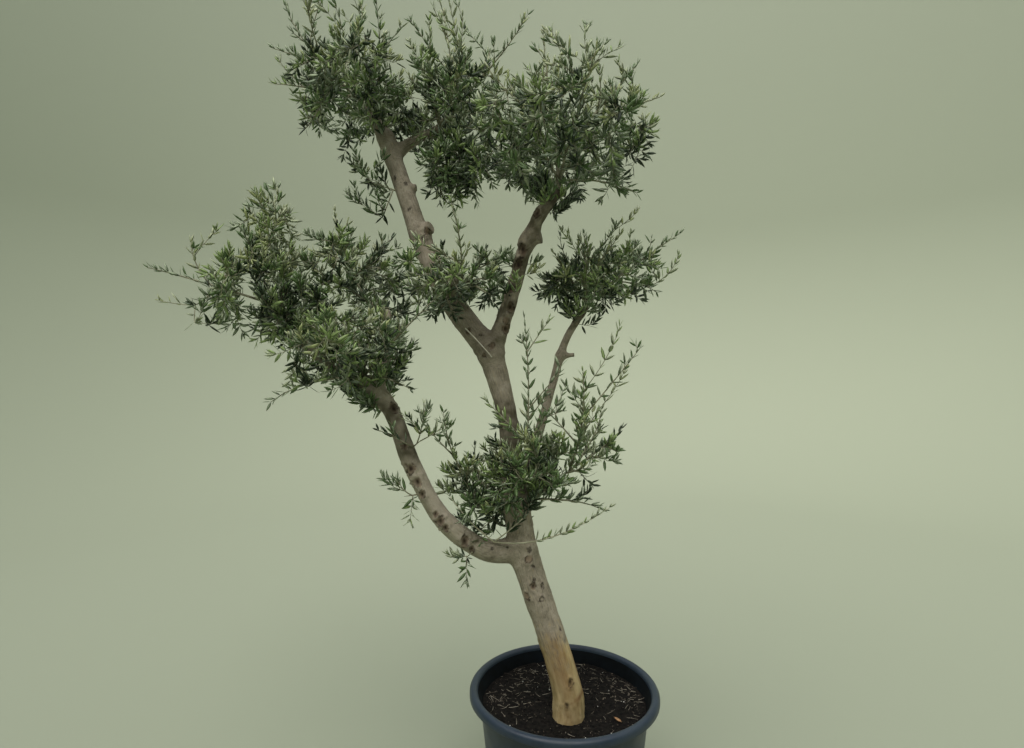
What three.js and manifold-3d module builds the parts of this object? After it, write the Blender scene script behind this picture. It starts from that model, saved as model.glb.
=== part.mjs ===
// An olive tree grown in a round nursery pot: a leaning trunk that forks low and high,
// boughs that carry separate pads of foliage, and the pot with its soil.
// Millimetres, +Z up. The origin is the centre of the pot's flat underside, and -Y is the front.
import * as THREE from "three";
import { mergeVertices } from "three/addons/utils/BufferGeometryUtils.js";
import Module from "manifold-3d";

const wasm = await Module();
wasm.setup();

// Driving dimensions
const POT = {
  height: 440,
  baseRadius: 222,
  shoulderRadius: 266,
  rimRadius: 300,
  rimInner: 273,
  rimDrop: 24,
  shoulderDrop: 42,
  ledge: 16,
  wall: 5,
  floor: 6,
  sides: 32,
  drain: { count: 4, ring: 165, radius: 12 },
};
const SOIL = { top: 390, uneven: 5, waves: [37, 48], seatRadius: 75, seatBlend: 40 };
const GAP = 0.3; // between two solids that touch
const LIMB_CLEARANCE = 2; // between leaves and the wood that they pass
const SPRAY = { length: 180, width: 60, thickness: 6, rootSunk: 6, spacing: 42, angle: 0.75 };
const SPRAY_SIZES = [1, 0.8, 0.6]; // tried in turn, until one fits its place
const SPRAY_APART = 24; // between the leaves of one mass
const TWIG = { foot: 11, tip: 6, thinning: 0.4, sides: 3, apart: 16 }; // radii, and room round it
const FORK = { first: 0.25, turning: 1.5 }; // where the first is, and how much it dislikes a turn
const SPACE_REACH = 1.15; // how far a mass's space goes, in radii of its pads
const SPACE_MARGIN = 0.05; // of a pad's radius, kept free along the border of two masses
const LEADER_REACH = 80; // radius of a leading shoot's own space

// Each limb's centreline, as x, y, z and radius, from its foot to its tip
const TRUNK_FOOT = [8, -83];
const LIMBS = {
  trunk: {
    sides: 12,
    rings: 14,
    path: [
      [...TRUNK_FOOT, SOIL.top - 30, 58],
      [4, -80, 460, 48],
      [-62, -60, 680, 43],
      [-126, -41, 870, 46],
      [-158, -22, 1090, 40],
      [-178, -8, 1290, 32],
      [-238, 2, 1515, 40],
    ],
    stubs: [{ at: 0.62, towards: [0.9, -0.4, 0.2], length: 60, radius: 13 }],
  },
  bough_low_left: {
    sides: 9,
    rings: 12,
    path: [
      [-150, -42, 880, 38],
      [-250, -60, 890, 33],
      [-370, -91, 985, 30],
      [-470, -108, 1168, 27],
      [-530, -112, 1325, 25],
      [-590, -112, 1395, 23],
    ],
    stubs: [{ at: 0.87, towards: [-1, -0.2, -0.1], length: 40, radius: 15 }],
  },
  bough_left_outer: {
    sides: 7,
    rings: 5,
    path: [
      [-585, -112, 1390, 22],
      [-710, -110, 1460, 20],
      [-830, -100, 1555, 13],
    ],
  },
  bough_left_inner: {
    sides: 7,
    rings: 5,
    path: [
      [-572, -112, 1385, 19],
      [-551, -70, 1490, 16],
      [-562, -10, 1625, 12],
    ],
  },
  bough_upper_left: {
    sides: 9,
    rings: 12,
    path: [
      [-238, 2, 1510, 40],
      [-350, 30, 1650, 37],
      [-448, 62, 1835, 35],
      [-520, 85, 2035, 31],
      [-590, 102, 2225, 27],
    ],
    stubs: [
      { at: 0.58, towards: [0.9, -0.45, 0.4], length: 50, radius: 16 },
      { at: 0.77, towards: [1, -0.2, 0.1], length: 42, radius: 11 },
    ],
  },
  bough_top_left: {
    sides: 7,
    rings: 3,
    path: [
      [-585, 101, 2215, 22],
      [-660, 112, 2350, 13],
    ],
  },
  bough_top_centre: {
    sides: 7,
    rings: 5,
    path: [
      [-566, 98, 2165, 20],
      [-500, 120, 2225, 17],
      [-430, 140, 2270, 13],
    ],
  },
  bough_upper_right: {
    sides: 8,
    rings: 10,
    path: [
      [-226, 0, 1500, 28],
      [-158, -33, 1710, 21],
      [-118, -54, 1840, 23],
      [-70, -68, 1935, 20],
      [-20, -80, 1990, 16],
    ],
    stubs: [{ at: 0.52, towards: [1, -0.3, 0.15], length: 42, radius: 15 }],
  },
  bough_right: {
    sides: 7,
    rings: 9,
    path: [
      [-142, -18, 1040, 20],
      [-88, 62, 1200, 15],
      [-34, 92, 1380, 14],
      [18, 112, 1550, 12.5],
      [84, 126, 1655, 11],
    ],
    stubs: [{ at: 0.66, towards: [1, -0.25, 0.1], length: 48, radius: 7 }],
  },
  bough_mid: {
    sides: 6,
    rings: 2,
    path: [
      [-372, 38, 1680, 15],
      [-335, -60, 1725, 10],
    ],
  },
};

// Each mass of foliage: its root in the wood, its pads as centre and radii, the tips of its
// leading shoots, and how many more shoots end inside its pads. The first pad is its heart.
const MASSES = {
  foliage_left_outer: {
    root: [-830, -100, 1555],
    pads: [
      { at: [-990, -60, 1675], radii: [205, 260, 130] },
      { at: [-900, -90, 1800], radii: [85, 120, 150] },
    ],
    leaders: [
      [-1302, -60, 1761],
      [-1180, -190, 1663],
      [-1172, -60, 1864],
      [-1114, 30, 1911],
      [-1050, -170, 1544],
      [-1060, 200, 1790],
      [-892, -70, 2006],
      [-840, -150, 1900],
    ],
    shoots: 12,
  },
  foliage_left_inner: {
    root: [-562, -10, 1625],
    pads: [{ at: [-700, 50, 1712], radii: [190, 260, 150] }],
    leaders: [
      [-735, -20, 1971],
      [-690, 20, 1915],
      [-537, 20, 1889],
      [-459, 60, 1621],
      [-690, 290, 1820],
    ],
    shoots: 12,
  },
  foliage_left_low: {
    root: [-590, -112, 1395],
    pads: [{ at: [-640, -170, 1495], radii: [165, 190, 120] }],
    leaders: [
      [-342, -230, 1683],
      [-890, -180, 1345],
      [-434, -200, 1384],
    ],
    shoots: 9,
  },
  foliage_top_left: {
    root: [-660, 112, 2350],
    pads: [{ at: [-700, 110, 2385], radii: [210, 290, 170] }],
    leaders: [
      [-937, 80, 2680],
      [-997, 100, 2540],
      [-788, 60, 2690],
      [-655, 120, 2655],
      [-980, 60, 2395],
      [-850, 20, 2215],
      [-730, 370, 2530],
    ],
    shoots: 13,
  },
  foliage_top_centre: {
    root: [-430, 140, 2270],
    pads: [
      { at: [-395, 150, 2370], radii: [150, 280, 190] },
      { at: [-350, 90, 2120], radii: [115, 140, 105] },
    ],
    leaders: [
      [-403, 120, 2695],
      [-520, 100, 2640],
      [-96, 60, 2640],
      [-240, 180, 2570],
      [-300, 410, 2470],
    ],
    shoots: 14,
  },
  foliage_top_right: {
    root: [-20, -80, 1990],
    pads: [{ at: [-4, -60, 2152], radii: [255, 300, 205] }],
    leaders: [
      [-72, -60, 2511],
      [145, -60, 2483],
      [235, -80, 2400],
      [318, -60, 2300],
      [247, -60, 1990],
      [60, -360, 2300],
      [110, 230, 2320],
    ],
    shoots: 18,
  },
  foliage_mid: {
    root: [-335, -60, 1725],
    pads: [
      { at: [-280, -85, 1705], radii: [115, 150, 100] },
      { at: [-437, -95, 1708], radii: [85, 130, 110] },
    ],
    leaders: [
      [-343, -190, 1954],
      [-230, -60, 1840],
      [-150, -60, 1822],
    ],
    shoots: 8,
  },
  foliage_right: {
    root: [84, 126, 1655],
    pads: [
      { at: [60, 120, 1735], radii: [160, 190, 100] },
      { at: [215, 120, 1765], radii: [120, 160, 115] },
    ],
    leaders: [
      [80, 120, 1936],
      [202, 120, 1943],
      [274, 100, 1994],
      [423, 110, 1923],
      [352, 120, 1705],
      [216, 110, 1586],
      [150, 330, 1850],
    ],
    shoots: 11,
  },
  foliage_low_front: {
    root: [-154, -24, 1060],
    pads: [{ at: [-95, -120, 1135], radii: [140, 140, 115] }],
    leaders: [
      [-134, -90, 1625],
      [-44, -70, 1606],
      [15, -100, 1455],
    ],
    shoots: 10,
  },
  foliage_low_right: {
    root: [-150, -28, 1005],
    pads: [{ at: [65, -30, 1165], radii: [135, 200, 145] }],
    leaders: [
      [115, -80, 1442],
      [186, -70, 1572],
      [245, -70, 1525],
      [134, -70, 1014],
      [210, -20, 1180],
    ],
    shoots: 11,
  },
  foliage_low_left: {
    root: [-146, -30, 985],
    pads: [{ at: [-290, -40, 1035], radii: [120, 165, 120] }],
    leaders: [
      [-382, -60, 1334],
      [-273, -60, 1340],
      [-300, 130, 1210],
    ],
    shoots: 8,
  },
  sprig_low_bough: {
    root: [-482, -109, 1198],
    pads: [{ at: [-430, -150, 1240], radii: [90, 90, 90] }],
    leaders: [
      [-421, -140, 1370],
      [-560, -230, 1285],
      [-350, -120, 1290],
    ],
    shoots: 0,
  },
  sprig_bough_side: {
    root: [-425, -101, 1072],
    pads: [{ at: [-485, -140, 1070], radii: [90, 90, 80] }],
    leaders: [
      [-575, -150, 1135],
      [-540, -210, 1050],
    ],
    shoots: 0,
  },
  sprig_under_bough: {
    root: [-272, -65, 897],
    pads: [{ at: [-295, -130, 865], radii: [90, 80, 70] }],
    leaders: [
      [-385, -140, 865],
      [-330, -190, 810],
    ],
    shoots: 0,
  },
  sprig_upper_left: {
    root: [-520, 85, 2035],
    pads: [{ at: [-625, 50, 2070], radii: [85, 80, 120] }],
    leaders: [
      [-600, 50, 1925],
      [-690, 50, 2180],
    ],
    shoots: 0,
  },
};

const COLOURS = {
  pot: { color: 0x3b4753, roughness: 0.45, metalness: 0 },
  soil: { color: 0x2a231e, roughness: 0.95, metalness: 0 },
  bark: { color: 0x8f8270, roughness: 0.85, metalness: 0 },
  leaf: { color: 0x59694a, roughness: 0.55, metalness: 0 },
};

// Small helpers: vectors, seeded random numbers, and the step from a mesh to a solid and back
const vec = (xyz) => new THREE.Vector3(xyz[0], xyz[1], xyz[2]);
const UP = new THREE.Vector3(0, 0, 1);

function seeded(text) {
  let state = [...text].reduce((sum, letter) => (sum * 31 + letter.charCodeAt(0)) >>> 0, 7);
  return () => {
    state = (Math.imul(state, 1664525) + 1013904223) >>> 0;
    return (state >>> 8) / 2 ** 24;
  };
}

function solidOf(geometry) {
  geometry.deleteAttribute("normal");
  geometry.deleteAttribute("uv");
  const merged = mergeVertices(geometry, 1e-3);
  return new wasm.Manifold(
    new wasm.Mesh({
      numProp: 3,
      vertProperties: new Float32Array(merged.attributes.position.array),
      triVerts: new Uint32Array(merged.index.array),
    }),
  );
}

function geometryOf(solid) {
  const { vertProperties, triVerts } = solid.getMesh();
  const geometry = new THREE.BufferGeometry();
  geometry.setAttribute("position", new THREE.BufferAttribute(vertProperties, 3));
  geometry.setIndex(new THREE.BufferAttribute(triVerts, 1));
  geometry.computeVertexNormals();
  return geometry;
}

// Joins solids in pairs, then pairs of pairs, which is quicker than one after another
function joined(solids) {
  if (solids.length === 1) return solids[0];
  const half = Math.ceil(solids.length / 2);
  return joined(solids.slice(0, half)).add(joined(solids.slice(half)));
}

// The largest body of a solid, so scraps that a cut leaves loose are dropped and hollows filled
function largestBody(solid) {
  return solid.decompose().reduce((a, b) => (b.volume() > a.volume() ? b : a));
}

function meshOf(name, solid, look) {
  const mesh = new THREE.Mesh(geometryOf(solid), new THREE.MeshStandardMaterial(COLOURS[look]));
  mesh.name = name;
  return mesh;
}

// The place, the direction and two directions square to it of a curve at t. The first of the
// two leans towards the world's Y axis, or its X axis for a curve that runs along Y.
function frameAt(curve, t) {
  const along = curve.getTangent(t);
  const chord = curve.getPoint(1).sub(curve.getPoint(0)).normalize();
  const runsAlongY = Math.abs(chord.y) > 0.8;
  const side = runsAlongY ? new THREE.Vector3(1, 0, 0) : new THREE.Vector3(0, 1, 0);
  side.addScaledVector(along, -side.dot(along)).normalize();
  return { centre: curve.getPoint(t), along, side, across: side.clone().cross(along) };
}

// A capped cylinder, bent along a curve and drawn to its taper, and grown by a clearance
function tube(curve, radiusAt, sides, rings, grow = 0) {
  const shape = new THREE.CylinderGeometry(1, 1, 1, sides, rings);
  const places = shape.attributes.position;
  const frames = Array.from({ length: rings + 1 }, (_, ring) => frameAt(curve, ring / rings));
  frames[0].centre.addScaledVector(frames[0].along, -grow);
  frames[rings].centre.addScaledVector(frames[rings].along, grow);
  for (let i = 0; i < places.count; i++) {
    const ring = Math.round((places.getY(i) + 0.5) * rings);
    const { centre, side, across } = frames[ring];
    const radius = radiusAt(ring / rings) + grow;
    const place = centre.clone().addScaledVector(side, places.getX(i) * radius);
    place.addScaledVector(across, places.getZ(i) * radius);
    places.setXYZ(i, place.x, place.y, place.z);
  }
  return shape;
}

function limbCurve(limb) {
  return new THREE.CatmullRomCurve3(limb.path.map(vec), false, "centripetal");
}

function limbRadius(limb, t) {
  const last = limb.path.length - 1;
  const step = Math.min(Math.floor(t * last), last - 1);
  return THREE.MathUtils.lerp(limb.path[step][3], limb.path[step + 1][3], t * last - step);
}

// A short pruned stub that stands on a limb's side, from its middle
function stubSolid(limb, stub, grow) {
  const foot = limbCurve(limb).getPoint(stub.at);
  const tip = foot.clone().addScaledVector(vec(stub.towards).normalize(), stub.length);
  const radius = (t) => stub.radius * THREE.MathUtils.lerp(1.25, 0.8, t);
  return solidOf(tube(new THREE.LineCurve3(foot, tip), radius, 7, 1, grow));
}

function limbSolid(limb, grow = 0) {
  const wood = solidOf(tube(limbCurve(limb), (t) => limbRadius(limb, t), limb.sides, limb.rings, grow));
  return joined([wood, ...(limb.stubs ?? []).map((stub) => stubSolid(limb, stub, grow))]);
}

// Every limb, cut clear of the soil and of the wood that it grows from
function growLimbs() {
  const ground = new THREE.BoxGeometry(2 * POT.rimRadius, 2 * POT.rimRadius, POT.height);
  ground.translate(0, 0, SOIL.top + GAP - POT.height / 2);
  const cutters = [solidOf(ground)];
  const limbs = {};
  for (const [name, limb] of Object.entries(LIMBS)) {
    limbs[name] = largestBody(cutters.reduce((solid, cutter) => solid.subtract(cutter), limbSolid(limb)));
    cutters.push(limbSolid(limb, GAP));
  }
  return { limbs, cutters };
}

// Balls along every limb, to keep twigs and leaves off the wood
const WOOD_STEPS = 40;
const WOOD = Object.values(LIMBS).flatMap((limb) =>
  Array.from({ length: WOOD_STEPS + 1 }, (_, i) => ({
    at: limbCurve(limb).getPoint(i / WOOD_STEPS),
    radius: limbRadius(limb, i / WOOD_STEPS) + LIMB_CLEARANCE,
  })),
);

function touches(place, balls) {
  return balls.some(({ at, radius }) => at.distanceTo(place) < radius);
}

// How deep a place lies in a mass: 0 at the middle of a pad or leader, 1 at its surface
function depthIn(mass, place) {
  const inPads = mass.pads.map(({ at, radii }) => place.clone().sub(vec(at)).divide(vec(radii)).length());
  const heart = vec(mass.pads[0].at);
  const inLeaders = mass.leaders.map((tip) => {
    const near = new THREE.Line3(heart, vec(tip)).closestPointToPoint(place, true, new THREE.Vector3());
    return near.distanceTo(place) / LEADER_REACH;
  });
  return Math.min(...inPads, ...inLeaders);
}

// A mass's own space is where no other mass is deeper, so that the masses never meet
function inSpace(mass, place) {
  const depth = depthIn(mass, place);
  const others = Object.values(MASSES).filter((other) => other !== mass);
  return depth < SPACE_REACH && others.every((other) => depthIn(other, place) > depth + SPACE_MARGIN);
}

// Where shoots end: at the leaders' tips, then near the pads' surfaces, on a spiral that goes
// down from the top in even steps and turns by the golden angle
function shootTips(mass, random) {
  const goldenAngle = Math.PI * (3 - Math.sqrt(5));
  const spiral = Array.from({ length: mass.shoots }, (_, i) => {
    const { at, radii } = mass.pads[i % mass.pads.length];
    const rise = THREE.MathUtils.lerp(1, -0.8, (i + 0.5) / mass.shoots);
    const turn = i * goldenAngle + random();
    const flat = Math.sqrt(1 - rise * rise);
    const out = new THREE.Vector3(flat * Math.cos(turn), flat * Math.sin(turn), rise);
    return out.multiply(vec(radii)).multiplyScalar(0.9 + 0.2 * random()).add(vec(at));
  });
  return [...mass.leaders.map(vec), ...spiral];
}

// Ten steps along a twig, from a share of its length to its tip
function stepsAlong({ line, foot }, from) {
  return Array.from({ length: 10 }, (_, i) => {
    const t = THREE.MathUtils.lerp(from, 1, i / 9);
    return { at: line.getPoint(t), way: line.getTangent(t), radius: foot * (1 - TWIG.thinning * t) };
  });
}

// A mass's twigs: a stem from its root to the heart of its first pad, then one for each shoot.
// It forks off the nearest wood that runs its way, and stops short, for the leaf at its tip.
function growTwigs(mass, random) {
  const heart = vec(mass.pads[0].at);
  const twigs = [{ line: new THREE.LineCurve3(vec(mass.root), heart), foot: TWIG.foot }];
  for (const tip of shootTips(mass, random)) {
    const steps = twigs.flatMap((twig) => stepsAlong(twig, FORK.first));
    const forks = steps.filter(({ at }) => !touches(at, WOOD));
    const cost = ({ at, way }) => {
      const straight = way.dot(tip.clone().sub(at).normalize());
      return at.distanceTo(tip) * (FORK.turning - straight);
    };
    const fork = forks.reduce((best, next) => (cost(next) < cost(best) ? next : best));
    const share = 1 - (0.5 * SPRAY.length) / fork.at.distanceTo(tip);
    const end = fork.at.clone().lerp(tip, Math.max(share, 0.4));
    const twig = { line: new THREE.LineCurve3(fork.at, end), foot: fork.radius };
    const others = twigs.flatMap((other) => stepsAlong(other, 0.2));
    const balls = others.map(({ at }) => ({ at, radius: TWIG.apart }));
    const free = ({ at }) => inSpace(mass, at) && !touches(at, WOOD) && !touches(at, balls);
    if (stepsAlong(twig, 0.35).every(free)) twigs.push(twig);
  }
  return twigs;
}

// A leaf stands for a spray: a pointed blade of 8 faces. It rises from the middle of one of a
// twig's three faces, the last one from its tip, and its root is sunk in the twig.
function leafAt(line, t, face, angle, size) {
  const { centre, along, side, across } = frameAt(line, t);
  const turn = (Math.PI * (1 + 2 * face)) / 3;
  const out = side.multiplyScalar(Math.sin(turn)).addScaledVector(across, Math.cos(turn));
  const way = along.clone().multiplyScalar(Math.cos(angle)).addScaledVector(out, Math.sin(angle));
  const wide = along.cross(out).normalize();
  const middle = centre.addScaledVector(way, (SPRAY.length * size) / 2 - SPRAY.rootSunk);
  const turned = new THREE.Matrix4().makeBasis(way, wide, way.clone().cross(wide)).setPosition(middle);
  return turned.scale(new THREE.Vector3(SPRAY.length * size, SPRAY.width * size, SPRAY.thickness));
}

// Places on a leaf that have to lie free: on its midrib, and near its two sides
const LEAF_MARKS = [
  ...[-0.2, 0, 0.25, 0.5].map((x) => new THREE.Vector3(x, 0, 0)),
  ...[-0.45, 0.45].map((y) => new THREE.Vector3(0, y, 0)),
];

// Leaves stand in turn on each twig's faces. One that fits at no size is left out.
function growLeaves(mass, twigs, random) {
  const taken = twigs.flatMap(({ line }) => line.getPoints(6).map((at) => ({ at, radius: TWIG.apart })));
  const leaves = [];
  for (const { line } of twigs) {
    const count = Math.round(line.getLength() / SPRAY.spacing);
    for (let i = 0; i <= count; i++) {
      const t = THREE.MathUtils.lerp(0.2, 0.98, i / count);
      const angle = i === count ? 0 : SPRAY.angle * (0.8 + 0.4 * random());
      for (const size of SPRAY_SIZES) {
        const leaf = leafAt(line, t, i % 3, angle, size);
        const marks = LEAF_MARKS.map((mark) => mark.clone().applyMatrix4(leaf));
        const free = (at) => inSpace(mass, at) && !touches(at, WOOD) && !touches(at, taken);
        if (!marks.every(free)) continue;
        leaves.push(solidOf(new THREE.OctahedronGeometry(0.5).applyMatrix4(leaf)));
        taken.push(...marks.map((at) => ({ at, radius: SPRAY_APART })));
        break;
      }
    }
  }
  return leaves;
}

function growMass(name, mass, cutters) {
  const random = seeded(name);
  const twigs = growTwigs(mass, random);
  const stalks = twigs.map(({ line, foot }) =>
    solidOf(tube(line, (t) => THREE.MathUtils.lerp(foot, TWIG.tip, t), TWIG.sides, 1)),
  );
  const grown = joined([...stalks, ...growLeaves(mass, twigs, random)]);
  return largestBody(cutters.reduce((solid, cutter) => solid.subtract(cutter), grown));
}

// The pot: a turned shell with a rolled rim, a shoulder under it and drain holes in its floor
function potSolid() {
  const { height, baseRadius, shoulderRadius, rimRadius, rimInner, rimDrop, shoulderDrop } = POT;
  const { ledge, wall, floor, sides, drain } = POT;
  const shoulder = height - shoulderDrop;
  const rollRadius = (rimRadius - rimInner) / 2;
  const roll = Array.from({ length: 4 }, (_, i) => {
    const turn = (Math.PI * i) / 3;
    return [rimInner + rollRadius * (1 + Math.cos(turn)), height - rollRadius * (1 - Math.sin(turn))];
  });
  const profile = [
    [0, 0],
    [baseRadius, 0],
    [shoulderRadius, shoulder],
    [shoulderRadius + ledge, height - rimDrop],
    [rimRadius, height - rimDrop],
    ...roll,
    [shoulderRadius - wall, shoulder],
    [baseRadius - wall, floor],
    [0, floor],
  ];
  const shell = new THREE.LatheGeometry(profile.map(([r, z]) => new THREE.Vector2(r, z)), sides);
  shell.rotateX(Math.PI / 2);
  const holes = Array.from({ length: drain.count }, (_, i) => {
    const turn = (2 * Math.PI * (i + 0.5)) / drain.count;
    const hole = new THREE.CylinderGeometry(drain.radius, drain.radius, 4 * floor, 10);
    hole.rotateX(Math.PI / 2);
    hole.translate(drain.ring * Math.cos(turn), drain.ring * Math.sin(turn), 0);
    return solidOf(hole);
  });
  return holes.reduce((pot, hole) => pot.subtract(hole), solidOf(shell));
}

// The soil fills the pot up to its top, a little uneven except under the trunk
function soilSolid() {
  const { baseRadius, shoulderRadius, shoulderDrop, height, wall, floor, sides } = POT;
  const slope = (shoulderRadius - baseRadius) / (height - shoulderDrop);
  const inner = (z) => baseRadius - wall + z * slope - 4 * GAP;
  const profile = [
    [0, floor + GAP],
    [inner(floor), floor + GAP],
    ...[1, 0.75, 0.4].map((share) => [inner(SOIL.top) * share, SOIL.top]),
    [0, SOIL.top],
  ];
  const soil = new THREE.LatheGeometry(profile.map(([r, z]) => new THREE.Vector2(r, z)), sides);
  soil.rotateX(Math.PI / 2);
  const places = soil.attributes.position;
  for (let i = 0; i < places.count; i++) {
    const [x, y, z] = [places.getX(i), places.getY(i), places.getZ(i)];
    const away = Math.hypot(x - TRUNK_FOOT[0], y - TRUNK_FOOT[1]) - SOIL.seatRadius;
    if (z < SOIL.top - 1 || away < 0) continue;
    const wave = Math.sin(x / SOIL.waves[0]) * Math.cos(y / SOIL.waves[1]) - 1;
    places.setZ(i, z + SOIL.uneven * wave * Math.min(1, away / SOIL.seatBlend));
  }
  return solidOf(soil);
}

// The tree stands in its pot
const tree = new THREE.Group();
tree.add(meshOf("pot", potSolid(), "pot"));
tree.add(meshOf("soil", soilSolid(), "soil"));

const { limbs, cutters } = growLimbs();
const wood = new THREE.Group();
for (const [name, solid] of Object.entries(limbs)) wood.add(meshOf(name, solid, "bark"));
tree.add(wood);

const crown = new THREE.Group();
for (const [name, mass] of Object.entries(MASSES)) {
  crown.add(meshOf(name, growMass(name, mass, cutters), "leaf"));
}
tree.add(crown);

export default tree;
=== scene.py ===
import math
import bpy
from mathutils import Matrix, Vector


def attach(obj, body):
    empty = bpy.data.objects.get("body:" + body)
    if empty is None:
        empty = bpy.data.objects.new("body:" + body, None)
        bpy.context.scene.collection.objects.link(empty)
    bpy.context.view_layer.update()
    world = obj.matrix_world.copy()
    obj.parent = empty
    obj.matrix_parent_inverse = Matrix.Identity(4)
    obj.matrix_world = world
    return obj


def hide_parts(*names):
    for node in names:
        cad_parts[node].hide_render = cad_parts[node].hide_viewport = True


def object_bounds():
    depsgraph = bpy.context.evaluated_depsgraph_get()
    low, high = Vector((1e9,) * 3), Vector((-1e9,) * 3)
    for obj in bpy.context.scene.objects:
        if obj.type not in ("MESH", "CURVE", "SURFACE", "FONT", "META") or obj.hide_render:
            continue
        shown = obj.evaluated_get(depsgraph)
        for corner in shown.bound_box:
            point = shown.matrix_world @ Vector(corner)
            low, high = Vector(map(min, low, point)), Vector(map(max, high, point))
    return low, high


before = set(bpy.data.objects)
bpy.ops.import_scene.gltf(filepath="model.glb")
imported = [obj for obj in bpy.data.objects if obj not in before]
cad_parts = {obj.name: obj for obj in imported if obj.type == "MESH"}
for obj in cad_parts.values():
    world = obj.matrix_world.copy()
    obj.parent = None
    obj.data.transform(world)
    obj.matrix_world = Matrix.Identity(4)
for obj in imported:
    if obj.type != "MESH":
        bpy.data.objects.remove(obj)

# An olive tree in its nursery pot: a leaning trunk, its boughs, their pads of foliage, the soil
# and the pot. Sizes are in millimetres until a mesh is made; +Z is up and -Y is the front.
import zlib

import bmesh
import bpy
import numpy as np

cad_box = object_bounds()

# The room
# A plain pale studio sweep, flat where the pot stands and bent up into a wall far behind it on
# every side. It is open to a soft sky, and a broad light hangs overhead. The camera stands level
# at the height of the eyes.
MM = 0.001
TURN = 2 * math.pi
SWEEP = {"flat": 5000, "bend": 4000, "wall": 5000, "sides": 128, "steps": 24}
CAMERA = {"place": (-165, -1900, 1433), "focal_px": 594, "frame_px": 1024, "sensor": 36}
SKY = {"colour": "#eef2f2", "strength": 0.9}
SOFTBOX = {"strength": 2.4, "spread_deg": 60, "lean_deg": (32, -14, 0), "colour": "#fffaf3"}


def linear(hex_colour):
    """An sRGB hex colour as linear RGBA. A part up to 0.04045 is divided by 12.92. Any other has
    0.055 added, is divided by 1.055 and raised to the power 2.4."""
    part = np.array([int(hex_colour[i : i + 2], 16) for i in (1, 3, 5)]) / 255
    light = np.where(part <= 0.04045, part / 12.92, ((part + 0.055) / 1.055) ** 2.4)
    return (*light.tolist(), 1.0)


def add(tree, kind, inputs=None, **settings):
    """Adds a node with its own settings. inputs gives a socket, by name or number, a value, or
    another node's output to link to it."""
    made = tree.nodes.new(kind)
    for name, value in settings.items():
        setattr(made, name, value)
    for socket, value in (inputs or {}).items():
        if isinstance(value, bpy.types.NodeSocket):
            tree.links.new(value, made.inputs[socket])
        else:
            made.inputs[socket].default_value = value
    return made


def new_material(name, **values):
    """A material, its node tree and its Principled shader with these input values."""
    material = bpy.data.materials.new(name)
    material.use_nodes = True
    shader = material.node_tree.nodes["Principled BSDF"]
    for socket, value in values.items():
        shader.inputs[socket.replace("_", " ")].default_value = value
    return material, material.node_tree, shader


def bodies_of_rings(rings, first, last):
    """Closed bodies from rings of points. rings is (body, row, side, 3). Each four neighbours make
    a face, and a body's first and last points (body, 3) close its two ends with triangles."""
    count, rows, sides, _ = rings.shape
    points = np.concatenate([rings.reshape(count, -1, 3), first[:, None], last[:, None]], axis=1)
    row, side = np.meshgrid(np.arange(rows - 1) * sides, np.arange(sides), indexing="ij")
    beside = (side + 1) % sides
    walls = np.stack([row + side, row + beside, row + sides + beside, row + sides + side], axis=-1)
    edge, after = np.arange(sides), (np.arange(sides) + 1) % sides
    bottom = np.stack([np.full(sides, rows * sides), after, edge], axis=-1)
    last_ring = (rows - 1) * sides
    top = np.stack([np.full(sides, rows * sides + 1), edge + last_ring, after + last_ring], axis=-1)
    shift = np.arange(count)[:, None, None] * points.shape[1]
    ends = (np.concatenate([bottom, top]) + shift).reshape(-1, 3)
    return points.reshape(-1, 3), [(walls.reshape(-1, 4) + shift).reshape(-1, 4), ends]


def turned(profile, sides):
    """A profile turned round Z: radius r and height z give (r cos a, r sin a, z) at even steps of
    a. Its first and last points lie on the axis."""
    radius, height = np.array(profile[1:-1], float).T
    angle = np.arange(sides) * TURN / sides
    spread = [np.outer(radius, np.cos(angle)), np.outer(radius, np.sin(angle))]
    rings = np.stack([*spread, np.repeat(height[:, None], sides, axis=1)], axis=-1)
    ends = [np.array([[0, 0, profile[i][1]]], float) for i in (0, -1)]
    return bodies_of_rings(rings[None], *ends)


def arc(centre, radius, start_deg, end_deg, steps):
    """Points on a circle: centre + radius x (cos a, sin a), from one angle to another."""
    angle = np.radians(np.linspace(start_deg, end_deg, steps))
    return np.column_stack([centre[0] + radius * np.cos(angle), centre[1] + radius * np.sin(angle)])


def new_piece(name, points, faces, materials, slots=None):
    """A smooth mesh object at the origin, in metres, from points in millimetres and lists of
    faces with equal numbers of corners. slots gives each face its material's number."""
    sizes = np.concatenate([np.full(len(group), group.shape[1]) for group in faces])
    corners = np.concatenate([group.ravel() for group in faces])
    mesh = bpy.data.meshes.new(name)
    mesh.vertices.add(len(points))
    mesh.vertices.foreach_set("co", (points * MM).astype(np.float32).ravel())
    mesh.loops.add(len(corners))
    mesh.loops.foreach_set("vertex_index", corners.astype(np.int32))
    mesh.polygons.add(len(sizes))
    mesh.polygons.foreach_set("loop_start", (np.cumsum(sizes) - sizes).astype(np.int32))
    mesh.polygons.foreach_set("use_smooth", np.ones(len(sizes), bool))
    for material in materials:
        mesh.materials.append(material)
    if slots is not None:
        mesh.polygons.foreach_set("material_index", slots.astype(np.int32))
    mesh.update(calc_edges=True)
    piece = bpy.data.objects.new(name, mesh)
    bpy.context.scene.collection.objects.link(piece)
    return piece


def matt_paper():
    """Seamless background paper: matt and pale, with a breath of green."""
    return new_material("matt_paper", Base_Color=linear("#a5ac99"), Roughness=0.95)[0]


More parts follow.
